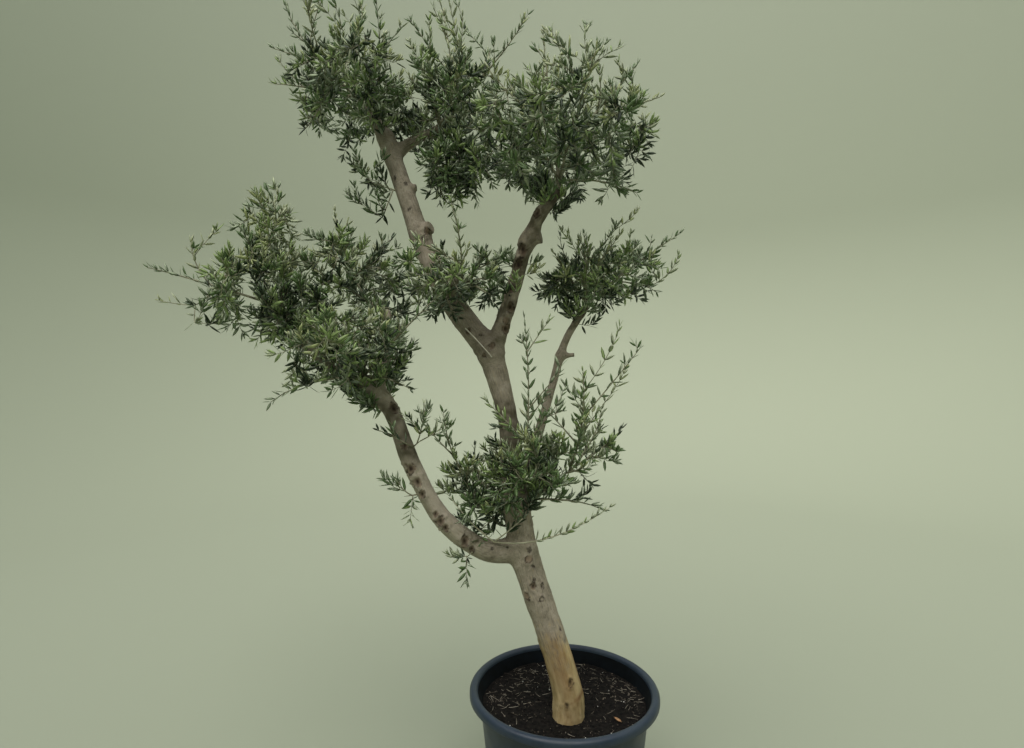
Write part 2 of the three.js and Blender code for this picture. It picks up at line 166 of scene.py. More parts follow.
flat, bend = SWEEP["flat"], SWEEP["bend"]
rise = arc((flat, bend), bend, -90, 0, SWEEP["steps"])
sweep_profile = [(0, 0), *rise, (flat + bend, bend + SWEEP["wall"]), (0, bend + SWEEP["wall"])]
points, (walls, ends) = turned(sweep_profile, SWEEP["sides"])
sweep = new_piece("studio_sweep", points, [walls, ends[: SWEEP["sides"]]], [matt_paper()])

world = bpy.data.worlds.new("soft_sky")
world.use_nodes = True
world.node_tree.nodes["Background"].inputs["Color"].default_value = linear(SKY["colour"])
world.node_tree.nodes["Background"].inputs["Strength"].default_value = SKY["strength"]
bpy.context.scene.world = world

softbox = bpy.data.lights.new("softbox", "SUN")
softbox.energy = SOFTBOX["strength"]
softbox.angle = math.radians(SOFTBOX["spread_deg"])
softbox.color = linear(SOFTBOX["colour"])[:3]
lamp = bpy.data.objects.new("softbox", softbox)
lamp.rotation_euler = [math.radians(a) for a in SOFTBOX["lean_deg"]]
bpy.context.scene.collection.objects.link(lamp)

camera = bpy.data.objects.new("camera", bpy.data.cameras.new("camera"))
camera.data.sensor_width = CAMERA["sensor"]
camera.data.lens = CAMERA["sensor"] * CAMERA["focal_px"] / CAMERA["frame_px"]
camera.location = [place * MM for place in CAMERA["place"]]
camera.rotation_euler = (math.pi / 2, 0, 0)
bpy.context.scene.collection.objects.link(camera)
bpy.context.scene.camera = camera
bpy.context.scene.view_settings.view_transform = "Standard"

# The pot
# A nursery container moulded in dark slate-blue polyethylene: a tapered wall, a shoulder that
# steps out under a thick rolled rim, and a flat floor with four drain holes, on which it stands.
POT = {
    "height": 440,
    "base": 222,
    "shoulder": 266,
    "rim": 300,
    "rim_inner": 273,
    "rim_drop": 24,
    "shoulder_drop": 42,
    "ledge": 16,
    "wall": 5,
    "floor": 6,
    "edge": 5,
    "sides": 224,
    "drains": 4,
    "drain_ring": 165,
    "drain_radius": 12,
}
POT_FINISH = {"streak": 26, "dust": 90, "grain": 1.6, "inner_shade": 40}  # sizes of the patterns


def dress(piece, slot, *nodes):
    """The piece rides with the whole plant and stands for those nodes, which it hides. The slot is not
    used.
    """
    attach(piece, "root")
    if nodes:
        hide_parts(*nodes)


def per_mm(size):
    """A texture's scale over coordinates in metres, for a pattern of that size in millimetres."""
    return 1 / (size * MM)


def mottled(tree, place, size, colours, spread=(0, 1), detail=2.0, rough=0.5):
    """Two colours in cloudy patches of about that size. The spread is where, in the clouds' range
    from 0 to 1, the first colour ends and the second is reached."""
    clouds = {"Vector": place, "Scale": per_mm(size), "Detail": detail, "Roughness": rough}
    cloud = add(tree, "ShaderNodeTexNoise", clouds).outputs["Fac"]
    share = add(tree, "ShaderNodeMapRange", {0: cloud, 1: spread[0], 2: spread[1]}).outputs[0]
    mix = {"Factor": share, "A": linear(colours[0]), "B": linear(colours[1])}
    return add(tree, "ShaderNodeMix", mix, data_type="RGBA").outputs["Result"]


def moulded_polyethylene():
    """Blow-moulded polyethylene: a waxy half-gloss, faint upright streaks of a paler blue that are a
    painted sheen, and dry dust that dulls it in patches."""
    material, tree, shader = new_material("moulded_polyethylene", Specular_IOR_Level=0.5, IOR=1.51)
    place = add(tree, "ShaderNodeTexCoord").outputs["Object"]
    upright = add(tree, "ShaderNodeMapping", {"Vector": place, "Scale": (1, 1, 0.06)}).outputs[0]
    # Painted sheen: faint upright streaks of a paler blue along the wall
    wall = mottled(tree, upright, POT_FINISH["streak"], ("#1b2836", "#2a394e"))
    clouds = {"Vector": place, "Scale": per_mm(POT_FINISH["dust"]), "Detail": 6.0}
    dust = add(tree, "ShaderNodeTexNoise", clouds).outputs["Fac"]
    dusty = add(tree, "ShaderNodeMapRange", {0: dust, 1: 0.42, 2: 0.72}).outputs[0]
    mix = {"Factor": dusty, "A": wall, "B": linear("#303d4b")}
    dulled = add(tree, "ShaderNodeMix", mix, data_type="RGBA").outputs["Result"]
    rough = add(tree, "ShaderNodeMapRange", {0: dust, 1: 0.3, 2: 0.7, 3: 0.34, 4: 0.55})
    fine = {"Vector": place, "Scale": per_mm(POT_FINISH["grain"]), "Detail": 3.0}
    grain = add(tree, "ShaderNodeTexNoise", fine).outputs["Fac"]
    bump = add(tree, "ShaderNodeBump", {"Strength": 0.12, "Distance": 0.4 * MM, "Height": grain})
    tree.links.new(dulled, shader.inputs["Base Color"])
    tree.links.new(rough.outputs[0], shader.inputs["Roughness"])
    tree.links.new(bump.outputs[0], shader.inputs["Normal"])
    return material


def pot_profile():
    """Radius and height from the middle of the underside, up the outside, over the rim and down
    the inside. The rim is a half circle, and the foot, the ledge and its lip have small arcs."""
    edge, wall, floor = POT["edge"], POT["wall"], POT["floor"]
    shoulder, lip = POT["height"] - POT["shoulder_drop"], POT["height"] - POT["rim_drop"]
    roll = (POT["rim"] - POT["rim_inner"]) / 2
    crown = (POT["rim_inner"] + roll, POT["height"] - roll)
    slope = (POT["shoulder"] - POT["base"]) / shoulder
    side_z = np.linspace(4 * edge, shoulder - edge, 12)
    outside = np.column_stack([POT["base"] + slope * side_z, side_z])
    inside_z = np.linspace(shoulder, 2 * floor, 12)
    inside = np.column_stack([POT["base"] - wall + slope * inside_z, inside_z])
    return [
        (0, 0),
        (POT["drain_ring"], 0),
        *arc((POT["base"] - edge, edge), edge, -90, 0, 5),
        *outside,
        (POT["shoulder"], shoulder),
        (POT["shoulder"] + 0.5 * POT["ledge"], shoulder + 0.4 * (lip - shoulder)),
        (POT["shoulder"] + POT["ledge"], lip),
        *arc((POT["rim"] - 2, lip + 2), 2, -90, 0, 4),
        *arc(crown, roll, 0, 180, 13),
        *inside,
        (POT["base"] - wall - floor, floor),
        (POT["drain_ring"], floor),
        (0, floor),
    ]


def cut_away(piece, name, points, faces):
    """Cuts the bodies of a mesh out of a piece, and leaves no trace of them."""
    tool = new_piece(name, points, faces, [])
    cut = piece.modifiers.new("cut", "BOOLEAN")
    cut.operation, cut.solver, cut.object = "DIFFERENCE", "EXACT", tool
    graph = bpy.context.evaluated_depsgraph_get()
    piece.data = bpy.data.meshes.new_from_object(piece.evaluated_get(graph))
    piece.modifiers.clear()
    bpy.data.objects.remove(tool)


def drain_bodies():
    """Round plugs through the floor of the pot, evenly spaced on the drain ring."""
    turn = (np.arange(POT["drains"]) + 0.5) * TURN / POT["drains"]
    middle = POT["drain_ring"] * np.stack([np.cos(turn), np.sin(turn), 0 * turn], axis=-1)
    angle = np.arange(24) * TURN / 24
    ring = POT["drain_radius"] * np.stack([np.cos(angle), np.sin(angle), 0 * angle], axis=-1)
    height = np.array([-2, 2]) * POT["floor"] * np.array([[0], [0], [1]])
    rings = middle[:, None, None] + ring[None, None] + height.T[None, :, None]
    return bodies_of_rings(rings, middle + height.T[0], middle + height.T[1])


def painted_shade_polyethylene():
    """The same plastic inside the pot, painted almost black in cloudy patches: painted shade inside the
    wall.
    """
    material, tree, shader = new_material("painted_shade_polyethylene", Roughness=0.7, Specular_IOR_Level=0.2)
    place = add(tree, "ShaderNodeTexCoord").outputs["Object"]
    # Painted shade: the inside of the wall near black, in cloudy patches
    inner_shade = mottled(tree, place, POT_FINISH["inner_shade"], ("#04080d", "#0d151d"), (0.35, 0.7), 7.0)
    tree.links.new(inner_shade, shader.inputs["Base Color"])
    return material


def faces_inwards(mesh):
    """Whether each face of the pot looks towards its axis, below the rim's roll."""
    centre, normal = (np.empty(len(mesh.polygons) * 3, np.float32) for _ in range(2))
    mesh.polygons.foreach_get("center", centre)
    mesh.polygons.foreach_get("normal", normal)
    centre, normal = centre.reshape(-1, 3), normal.reshape(-1, 3)
    inwards = np.sum(centre[:, :2] * normal[:, :2], axis=1) < 0
    return inwards & (centre[:, 2] < (POT["height"] - POT["rim_drop"]) * MM)


pot = new_piece("nursery_pot", *turned(pot_profile(), POT["sides"]), [moulded_polyethylene()])
cut_away(pot, "drains", *drain_bodies())
# The faces inside the pot, below the rim's roll, take the painted shade
pot.data.materials.append(painted_shade_polyethylene())
pot.data.polygons.foreach_set("material_index", faces_inwards(pot.data).astype(np.int32))
dress(pot, "pot", "pot")

# The soil
# Dark peat compost, filled to 50 mm under the rim and pressed round the trunk. Its crumbs lie
# loose on top, with pale straw and chips of bark that the wind has gathered towards the wall.
SOIL = {"top": 390, "sunk": 3, "gap": 1.2, "rings": 84, "sides": 260}
CLEAR_SOIL = {"wall": 5, "trunk": 51}  # no loose bit lies nearer to either
SOIL_LUMPS = {60: 2.4, 22: 1.8, 9: 1.2, 4.5: 0.9}  # size across and height
TRUNK_FOOT = (8, -83)
CRUMBS = {"count": 2600, "size": (1.5, 5.5)}
DRY_CRUMBS = {"count": 420, "size": (1.5, 4.5)}
CHIPS = {"count": 150, "size": (2, 9)}
STRAWS = {"count": 190, "length": (6, 42), "radius": 0.55, "steps": 6, "bend": 0.28,
          "thickness": (0.6, 1.5), "lift": 1.2, "tilt": 0.12}
PERLITE = {"count": 16, "size": (2.5, 6)}
# Where the wind has gathered straw, as x, y and spread
STRAW_DRIFTS = [(-130, 170, 95), (-190, 5, 90), (165, 150, 100), (215, 20, 80), (40, 215, 110)]
DRIFT_THINNING = 0.6  # of the spread: how far out the straw grows sparse
HASH = (73856093, 19349663, 83492791, 26544357)


def lumps(places, size, seed=0):
    """Smooth random heights from -1 to 1, in lumps of about that size: a random number for each
    corner of a grid of cubes, blended between the corners by 3t^2 - 2t^3."""
    grid = places / size
    cell = np.floor(grid).astype(np.int64)
    part = grid - cell
    part = part * part * (3 - 2 * part)
    height = np.zeros(len(places))
    for corner in np.ndindex(2, 2, 2):
        x, y, z = (cell + corner).T
        mixed = (x * HASH[0]) ^ (y * HASH[1]) ^ (z * HASH[2]) ^ (seed * HASH[3])
        mixed = (mixed ^ (mixed >> 13)) * HASH[3]
        chance = ((mixed ^ (mixed >> 16)) & 0xFFFF) / 0x7FFF - 1
        height += chance * np.prod(np.where(corner, part, 1 - part), axis=1)
    return height


def soil_height(flat_places):
    """The top of the soil at places (x, y): its level, plus lumps of several sizes, which fade
    out against the trunk."""
    places = np.column_stack([flat_places, np.zeros(len(flat_places))])
    away = np.linalg.norm(flat_places - TRUNK_FOOT, axis=1)
    rough = sum(height * lumps(places, size) for size, height in SOIL_LUMPS.items())
    return SOIL["top"] - SOIL["sunk"] + rough * np.clip(away / 60 - 0.6, 0.25, 1)


def inside_radius(height):
    """How far the soil reaches at a height: the pot's inner wall less a small gap."""
    slope = (POT["shoulder"] - POT["base"]) / (POT["height"] - POT["shoulder_drop"])
    return POT["base"] - POT["wall"] + slope * height - SOIL["gap"]


def damp_peat():
    """Damp peat: almost black, matt, brown where a crumb has dried."""
    material, tree, shader = new_material("damp_peat", Roughness=0.95, Specular_IOR_Level=0.2)
    place = add(tree, "ShaderNodeTexCoord").outputs["Object"]
    peat = mottled(tree, place, 11, ("#030202", "#211d1a"), (0.36, 0.74), 8.0)
    clouds = {"Vector": place, "Scale": per_mm(2.2), "Detail": 5.0}
    fibres = add(tree, "ShaderNodeTexNoise", clouds).outputs["Fac"]
    bump = add(tree, "ShaderNodeBump", {"Strength": 0.8, "Distance": 1.5 * MM, "Height": fibres})
    tree.links.new(peat, shader.inputs["Base Color"])
    tree.links.new(bump.outputs[0], shader.inputs["Normal"])
    return material


def dry_stuff(name, dark, pale, size):
    """Dead plant matter: matt, bleached in parts and brown in others."""
    material, tree, shader = new_material(name, Roughness=0.8, Specular_IOR_Level=0.3)
    place = add(tree, "ShaderNodeTexCoord").outputs["Object"]
    colour = mottled(tree, place, size, (dark, pale), (0.38, 0.62), 3.0)
    tree.links.new(colour, shader.inputs["Base Color"])
    return material


def soil_body():
    """A closed body: a flat underside, a wall along the pot and a top whose rings shrink to the
    middle, each point raised to the height of the soil there."""
    bottom = POT["floor"] + 0.6
    share = np.linspace(1, 0, SOIL["rings"] + 1)[:-1]
    profile = [(0, bottom), (inside_radius(bottom), bottom)]
    profile += [(inside_radius(SOIL["top"]) * s, SOIL["top"]) for s in share]
    points, faces = turned([*profile, (0, SOIL["top"])], SOIL["sides"])
    on_top = points[:, 2] > SOIL["top"] - 1
    points[on_top, 2] = soil_height(points[on_top, :2])
    return points, faces


def on_soil(random, count, drifts=()):
    """Places on the soil, as evenly spread as chance makes them, or in drifts (x, y, spread). One
    that falls in the trunk or past the wall is left out."""
    if drifts:
        chosen = np.array(drifts)[random.integers(len(drifts), size=count)]
        strewn = chosen[:, 2:] * random.normal(size=(count, 2)) * DRIFT_THINNING
        flat_places = chosen[:, :2] + strewn
    else:
        flat_places = random.uniform(-1, 1, (count, 2)) * inside_radius(SOIL["top"])
    reach = inside_radius(SOIL["top"]) - CLEAR_SOIL["wall"]
    kept = np.linalg.norm(flat_places, axis=1) < reach
    kept &= np.linalg.norm(flat_places - TRUNK_FOOT, axis=1) > CLEAR_SOIL["trunk"]
    flat_places = flat_places[kept]
    return np.column_stack([flat_places, soil_height(flat_places)])


def crumbs_at(random, places, size, shape):
    """Rough crumbs: an icosahedron's twelve points, each pushed in or out by chance, stretched
    to a shape, turned at random and set on a place."""
    solid = bmesh.new()
    bmesh.ops.create_icosphere(solid, subdivisions=1, radius=1)
    corners = np.array([vertex.co for vertex in solid.verts])
    faces = np.array([[vertex.index for vertex in face.verts] for face in solid.faces])
    solid.free()
    count = len(places)
    scale = random.uniform(*size, (count, 1, 1)) * np.array(shape) / 2
    pushed = corners * random.uniform(0.7, 1.25, (count, 12, 1)) * scale
    turn, _ = np.linalg.qr(random.normal(size=(count, 3, 3)) * np.array([[1, 1, 0.4]]).T)
    turn *= np.sign(np.linalg.det(turn))[:, None, None]
    points = pushed @ turn + places[:, None]
    return points.reshape(-1, 3), [(faces + 12 * np.arange(count)[:, None, None]).reshape(-1, 3)]


def frames_along(centres):
    """The direction of each path (path, step, 3) at each step, and two directions square to it.
    The first of the two starts from the world axis that the path runs along least."""
    along = np.gradient(centres, axis=1)
    along /= np.linalg.norm(along, axis=-1, keepdims=True)
    chord = np.abs(centres[:, -1] - centres[:, 0])
    axis = np.eye(3)[np.argmin(chord, axis=1)][:, None]
    side = axis - along * np.sum(axis * along, axis=-1, keepdims=True)
    side /= np.linalg.norm(side, axis=-1, keepdims=True)
    return along, side, np.cross(along, side)


def tubes(centres, radii, sides):
    """Round bodies along many paths at once: at each step, centre + radius x (cos a x side +
    sin a x across), and a point past each end that rounds it off."""
    along, side, across = frames_along(centres)
    angle = (np.arange(sides) * TURN / sides)[:, None]
    ring = np.cos(angle) * side[:, :, None] + np.sin(angle) * across[:, :, None]
    rings = centres[:, :, None] + radii[:, :, None, None] * ring
    first = centres[:, 0] - along[:, 0] * radii[:, :1] * 0.6
    last = centres[:, -1] + along[:, -1] * radii[:, -1:] * 0.6
    return bodies_of_rings(rings, first, last)


def straws_at(random, places):
    """Bits of straw: thin bowed tubes that lie on their places, a little tilted."""
    count, steps = len(places), STRAWS["steps"]
    turn = random.uniform(0, TURN, (count, 1))
    length = random.uniform(*STRAWS["length"], (count, 1)) * random.uniform(0.5, 1, (count, 1))
    share = np.linspace(-0.5, 0.5, steps)
    bow = random.normal(size=(count, 1)) * STRAWS["bend"] * (share**2 - 0.1)
    tilt = random.normal(size=(count, 1)) * STRAWS["tilt"]
    lift = STRAWS["lift"] + np.abs(tilt * (share + 0.5) * length)
    flat = [np.cos(turn) * share - np.sin(turn) * bow, np.sin(turn) * share + np.cos(turn) * bow]
    centres = places[:, None] + np.stack([flat[0] * length, flat[1] * length, lift], axis=-1)
    radii = STRAWS["radius"] * random.uniform(*STRAWS["thickness"], (count, 1)) * np.ones(steps)
    return tubes(centres, radii, 4)


chance = np.random.default_rng(11)
soil = new_piece("peat_soil", *soil_body(), [damp_peat()])
dress(soil, "soil", "soil")
crumbs = crumbs_at(chance, on_soil(chance, CRUMBS["count"]), CRUMBS["size"], (1.2, 1, 0.8))
dress(new_piece("peat_crumbs", *crumbs, [damp_peat()]), "soil")
dry_places = on_soil(chance, DRY_CRUMBS["count"]) + [0, 0, 1]
crumbs = crumbs_at(chance, dry_places, DRY_CRUMBS["size"], (1.2, 1, 0.8))
dress(new_piece("dry_crumbs", *crumbs, [dry_stuff("dried_peat", "#3b342d", "#6e655a", 9)]), "soil")
chip_places = on_soil(chance, CHIPS["count"], STRAW_DRIFTS) + [0, 0, 1]
chips = crumbs_at(chance, chip_places, CHIPS["size"], (1.4, 0.6, 0.18))
dress(new_piece("bark_chips", *chips, [dry_stuff("weathered_chips", "#37302a", "#857a6d", 14)]), "soil")
straws = straws_at(chance, np.concatenate([
    on_soil(chance, STRAWS["count"], STRAW_DRIFTS),
    on_soil(chance, STRAWS["count"] // 2),
]))
grain_places = on_soil(chance, PERLITE["count"]) + [0, 0, 1.5]
perlite = crumbs_at(chance, grain_places, PERLITE["size"], (1, 1, 0.9))
white_perlite = dry_stuff("white_perlite", "#b9b8b2", "#e2e1dc", 4)
dress(new_piece("perlite_grains", *perlite, [white_perlite]), "soil")
dress(new_piece("loose_straw", *straws, [dry_stuff("bleached_straw", "#554d43", "#b5ad9e", 18)]), "soil")

# The trunk and its boughs
# One living frame of olive wood, grown together at its crotches, under thin grey bark with
# furrows along the grain, knots where shoots were pruned, and smooth ochre wood near the soil.
LIMBS = {
    "trunk": {
        "path": [
            (*TRUNK_FOOT, 360, 53),
            (4, -80, 460, 48),
            (-62, -60, 680, 43),
            (-126, -41, 870, 46),
            (-158, -22, 1090, 40),
            (-178, -8, 1290, 32),
            (-238, 2, 1515, 40),
        ],
        "stubs": [(0.62, (0.9, -0.4, 0.2), 60, 13)],  # share of the path, direction, length, radius
    },
    "bough_low_left": {
        "path": [
            (-150, -42, 880, 38),
            (-250, -60, 890, 33),
            (-370, -91, 985, 30),
            (-470, -108, 1168, 27),
            (-530, -112, 1325, 25),
            (-590, -112, 1395, 23),
        ],
        "stubs": [(0.87, (-1, -0.2, -0.1), 40, 15)],
    },
    "bough_left_outer": {
        "path": [(-585, -112, 1390, 22), (-710, -110, 1460, 20), (-830, -100, 1555, 13)],
    },
    "bough_left_inner": {
        "path": [(-572, -112, 1385, 19), (-551, -70, 1490, 16), (-562, -10, 1625, 12)],
    },
    "bough_upper_left": {
        "path": [
            (-238, 2, 1510, 40),
            (-350, 30, 1650, 37),
            (-448, 62, 1835, 35),
            (-520, 85, 2035, 31),
            (-590, 102, 2225, 27),
        ],
        "stubs": [(0.58, (0.9, -0.45, 0.4), 50, 16), (0.77, (1, -0.2, 0.1), 42, 11)],
    },
    "bough_top_left": {"path": [(-585, 101, 2215, 22), (-660, 112, 2350, 13)]},
    "bough_top_centre": {
        "path": [(-566, 98, 2165, 20), (-500, 120, 2225, 17), (-430, 140, 2270, 13)],
    },
    "bough_upper_right": {
        "path": [
            (-226, 0, 1500, 28),
            (-158, -33, 1710, 21),
            (-118, -54, 1840, 23),
            (-70, -68, 1935, 20),
            (-20, -80, 1990, 16),
        ],
        "stubs": [(0.52, (1, -0.3, 0.15), 42, 15)],
    },
    "bough_right": {
        "path": [
            (-142, -18, 1040, 20),
            (-88, 62, 1200, 15),
            (-34, 92, 1380, 14),
            (18, 112, 1550, 12.5),
            (84, 126, 1655, 11),
        ],
        "stubs": [(0.66, (1, -0.25, 0.1), 48, 7)],
    },
    "bough_mid": {"path": [(-372, 38, 1680, 15), (-335, -60, 1725, 10)]},
}
WOOD_STEP = 4  # between the places that stand for a limb's centreline
WOOD_FOOT = 382  # just under the soil
WOOD_VOXEL = 3.6
CROTCH = 8  # how softly two limbs flow into each other
# Knots that show from the front, by limb, as x, z and radius
KNOTS = {
    "trunk": [(11, 509, 8), (-1, 446, 5.5), (-18, 655, 5), (-113, 893, 6), (-101, 846, 5),
              (-98, 806, 6), (-101, 785, 9), (-73, 785, 6), (-205, 902, 5), (-262, 1555, 7),
              (-228, 1520, 9), (-249, 1494, 8)],
    "bough_low_left": [(-178, 908, 5), (-205, 903, 4), (-223, 903, 5), (-287, 903, 9),
                       (-308, 928, 13), (-365, 973, 11), (-380, 992, 13), (-394, 1015, 9),
                       (-434, 1073, 11), (-446, 1112, 13), (-466, 1150, 14), (-483, 1221, 9),
                       (-514, 1330, 12)],
    "bough_upper_left": [(-437, 1905, 13), (-500, 1975, 6), (-515, 2060, 5), (-553, 2080, 4),
                         (-455, 1875, 5), (-410, 1840, 8), (-303, 1567, 8)],
    "bough_upper_right": [(-186, 1575, 15), (-171, 1640, 13), (-166, 1700, 10), (-146, 1770, 13),
                          (-132, 1815, 15), (-88, 1925, 10)],
    "bough_right": [(-40, 1365, 7), (-52, 1300, 7)],
}
HEALED_KNOTS = {  # only a ring is left of them
    "trunk": [(-116, 868, 10), (-119, 754, 8), (-73, 749, 7)],
    "bough_low_left": [(-305, 932, 10)],
    "bough_upper_right": [(-186, 1600, 11)],
}
HIDDEN_KNOTS = {"apart": 85, "radius": (4, 9)}  # on the sides and the back of every limb
LARGE_KNOT = 7  # one with a larger radius has red-brown wood in it
# Lumps and, along the grain, flutes of the bark, as height, size across and seed
BARK_LUMPS = [(2.6, 80, 1), (1.3, 30, 2), (0.6, 11, 3)]
FLUTES = {"stretch": 0.16, "round": 1.8, "round_width": 21, "sharp": 0.8, "sharp_width": 8}
SMOOTH_LIMB = 40  # a thinner limb has lower lumps
BARE_WOOD = {"top": 604, "blur": 92, "wander": 44}  # near the soil, up to a wandering line
RUST = {"streak": 26, "stretch": 0.2, "high": (430, 560), "left": (12, -34)}
RUST_PATCH = {"x": 38, "z": 460, "width": 27, "height": 10, "slope": 0.4}
# The painted shade that the low foliage casts on the trunk behind it: where it begins and ends in height,
# and how far right
PAINTED_SHADE_BAND = {"bottom": (1140, 1200), "top": (1362, 1338), "right": -110, "ragged": 14}
# Painted shade in the upper crotch, where the limbs meet: its middle and how far it reaches
PAINTED_CROTCH_SHADE = {"place": (-232, -20, 1545), "reach": 55}
# The upper right bough is rough and blotched, its blotches partly dark bark and partly painted shade of
# the crown: where it begins, to the right and upwards
RIGHT_FORK = {"x": (-300, -240), "z": (1560, 1640), "height": 2.6, "lump": 24, "blotch": 22}
PALE_BOUGH = {"x": (-230, -330), "z": (1480, 1330)}  # the low bough, away from the trunk


def along_limb(path, share):
    """Places and radii on a limb: a Catmull-Rom spline whose steps last as long as the square
    root of their lengths, and the radius blended evenly from point to point."""
    points, radii = np.array(path, float)[:, :3], np.array(path, float)[:, 3]
    ends = [2 * points[:1] - points[1:2], points, 2 * points[-1:] - points[-2:-1]]
    count = len(points) - 1
    number = np.minimum((share * count).astype(int), count - 1)
    part = (share * count - number)[:, None]
    before, start, end, after = (np.concatenate(ends)[number + i] for i in range(4))
    steps = [start - before, end - start, after - end]
    first, middle, last = (np.linalg.norm(step, axis=1, keepdims=True) ** 0.5 for step in steps)
    leave = middle * (steps[0] / first - (end - before) / (first + middle)) + steps[1]
    arrive = middle * (steps[2] / last - (after - start) / (middle + last)) + steps[1]
    cubic = 2 * (start - end) + leave + arrive
    place = start + part * leave + part**2 * (3 * (end - start) - 2 * leave - arrive) + part**3 * cubic
    return place, radii[number] * (1 - part[:, 0]) + radii[number + 1] * part[:, 0]


def limb_samples(path):
    """A limb as places every few millimetres: where, how thick, which way and how far along."""
    rough = along_limb(path, np.linspace(0, 1, 200))[0]
    length = np.linalg.norm(np.diff(rough, axis=0), axis=1).sum()
    centres, radii = along_limb(path, np.linspace(0, 1, max(int(length / WOOD_STEP), 6)))
    along, side, across = (v[0] for v in frames_along(centres[None]))
    run = np.linspace(0, length, len(centres))
    places = {"centres": centres, "radii": radii, "run": run}
    return {**places, "along": along, "side": side, "across": across}


def stub_samples(limb, stub):
    """A pruned stub: a short straight limb from the middle of the wood, thinner at its end."""
    share, towards, length, radius = stub
    foot = along_limb(limb["path"], np.array([share]))[0][0]
    tip = foot + np.array(towards) / np.linalg.norm(towards) * length
    return limb_samples([(*foot, 1.25 * radius), (*tip, 0.8 * radius)])


def nearest_on(limb, places):
    """For each place, its way out from a limb's centreline and its distance to the bark. Between
    two places of the centreline the distance is measured square to it."""
    centres = limb["centres"]
    apart = np.sum(places**2, axis=1)[:, None] + np.sum(centres**2, axis=1) - 2 * places @ centres.T
    near = np.argmin(apart, axis=1)
    out = places - centres[near]
    along = limb["along"][near]
    slide = np.clip(np.sum(out * along, axis=1), -WOOD_STEP / 2, WOOD_STEP / 2)
    out = out - along * slide[:, None]
    distance = np.linalg.norm(out, axis=1)
    return out / np.maximum(distance, 1e-6)[:, None], distance - limb["radii"][near], near, slide


def blended(limbs, places):
    """The limbs' surfaces flowed together: the distance is -k ln(sum of exp(-d/k)), and each limb
    counts by its share exp(-d/k) of that sum."""
    found = [nearest_on(limb, places) for limb in limbs]
    distances = np.stack([distance for _, distance, _, _ in found])
    nearest = distances.min(axis=0)
    weights = np.exp(-(distances - nearest) / CROTCH)
    total = weights.sum(axis=0)
    weights /= total
    out = sum(w[:, None] * direction for w, (direction, _, _, _) in zip(weights, found))
    out /= np.maximum(np.linalg.norm(out, axis=1), 1e-6)[:, None]
    return out, nearest - CROTCH * np.log(total), weights, found


def grain_at(limbs, weights, found):
    """Each place in the straightened wood: millimetres towards two sides and along the limb, so
    that a pattern stretched along the third number follows the grain."""
    grain = 0
    for limb, weight, (direction, distance, near, slide) in zip(limbs, weights, found):
        radius = (distance + limb["radii"][near])[:, None]
        sides = [np.sum(direction * limb[way][near], axis=1) for way in ("side", "across")]
        straight = np.stack([*sides, (limb["run"][near] + slide) / radius[:, 0]], axis=-1)
        grain = grain + weight[:, None] * straight * radius
    return grain


def on_front(limb, x, z):
    """The place on a limb's front that shows at x and z from the front."""
    centres, radii = limb["centres"], limb["radii"]
    near = np.argmin((centres[:, 0] - x) ** 2 + (centres[:, 2] - z) ** 2)
    off = np.clip(x - centres[near, 0], -0.8 * radii[near], 0.8 * radii[near])
    depth = np.sqrt(radii[near] ** 2 - off**2)
    return np.array([centres[near, 0] + off, centres[near, 1] - depth, z])


def hidden_knots(limb, random):
    """Knots at random spacings along a limb, turned to its sides and its back."""
    count = int(limb["run"][-1] / HIDDEN_KNOTS["apart"])
    chosen = random.integers(len(limb["centres"]), size=count)
    turn = random.uniform(-0.15, 0.5 * TURN + 0.15, count)[:, None]
    way = np.concatenate([np.cos(turn), np.sin(turn), 0.2 * np.ones_like(turn)], axis=1)
    way -= limb["along"][chosen] * np.sum(way * limb["along"][chosen], axis=1)[:, None]
    way /= np.linalg.norm(way, axis=1)[:, None]
    places = limb["centres"][chosen] + way * limb["radii"][chosen][:, None]
    return [(place, random.uniform(*HIDDEN_KNOTS["radius"])) for place in places]


def voxel_skin(points, faces, size):
    """The outer skin of overlapping bodies, as even squares of that size."""
    block = new_piece("wood_block", points, faces, [])
    skin = block.modifiers.new("skin", "REMESH")
    skin.mode, skin.voxel_size = "VOXEL", size * MM
    mesh = bpy.data.meshes.new_from_object(block.evaluated_get(bpy.context.evaluated_depsgraph_get()))
    bpy.data.objects.remove(block)
    places = np.empty(len(mesh.vertices) * 3, np.float32)
    mesh.vertices.foreach_get("co", places)
    corners = np.empty(len(mesh.polygons) * 4, np.int32)
    mesh.loops.foreach_get("vertex_index", corners)
    return places.reshape(-1, 3).astype(float) / MM, corners.reshape(-1, 4)


def joined(parts):
    """One mesh of several (points, faces): each part's corners are numbered on from the last."""
    starts = np.cumsum([0] + [len(points) for points, _ in parts])
    faces = [group + start for start, (_, groups) in zip(starts, parts) for group in groups]
    sizes = sorted({group.shape[1] for group in faces}, reverse=True)
    by_size = [np.concatenate([group for group in faces if group.shape[1] == size]) for size in sizes]
    return np.concatenate([points for points, _ in parts]), by_size


def smooth_step(low, high, value):
    """0 below one value, 1 above the other, and 3t^2 - 2t^3 between them."""
    t = np.clip((value - low) / (high - low), 0, 1)
    return t * t * (3 - 2 * t)


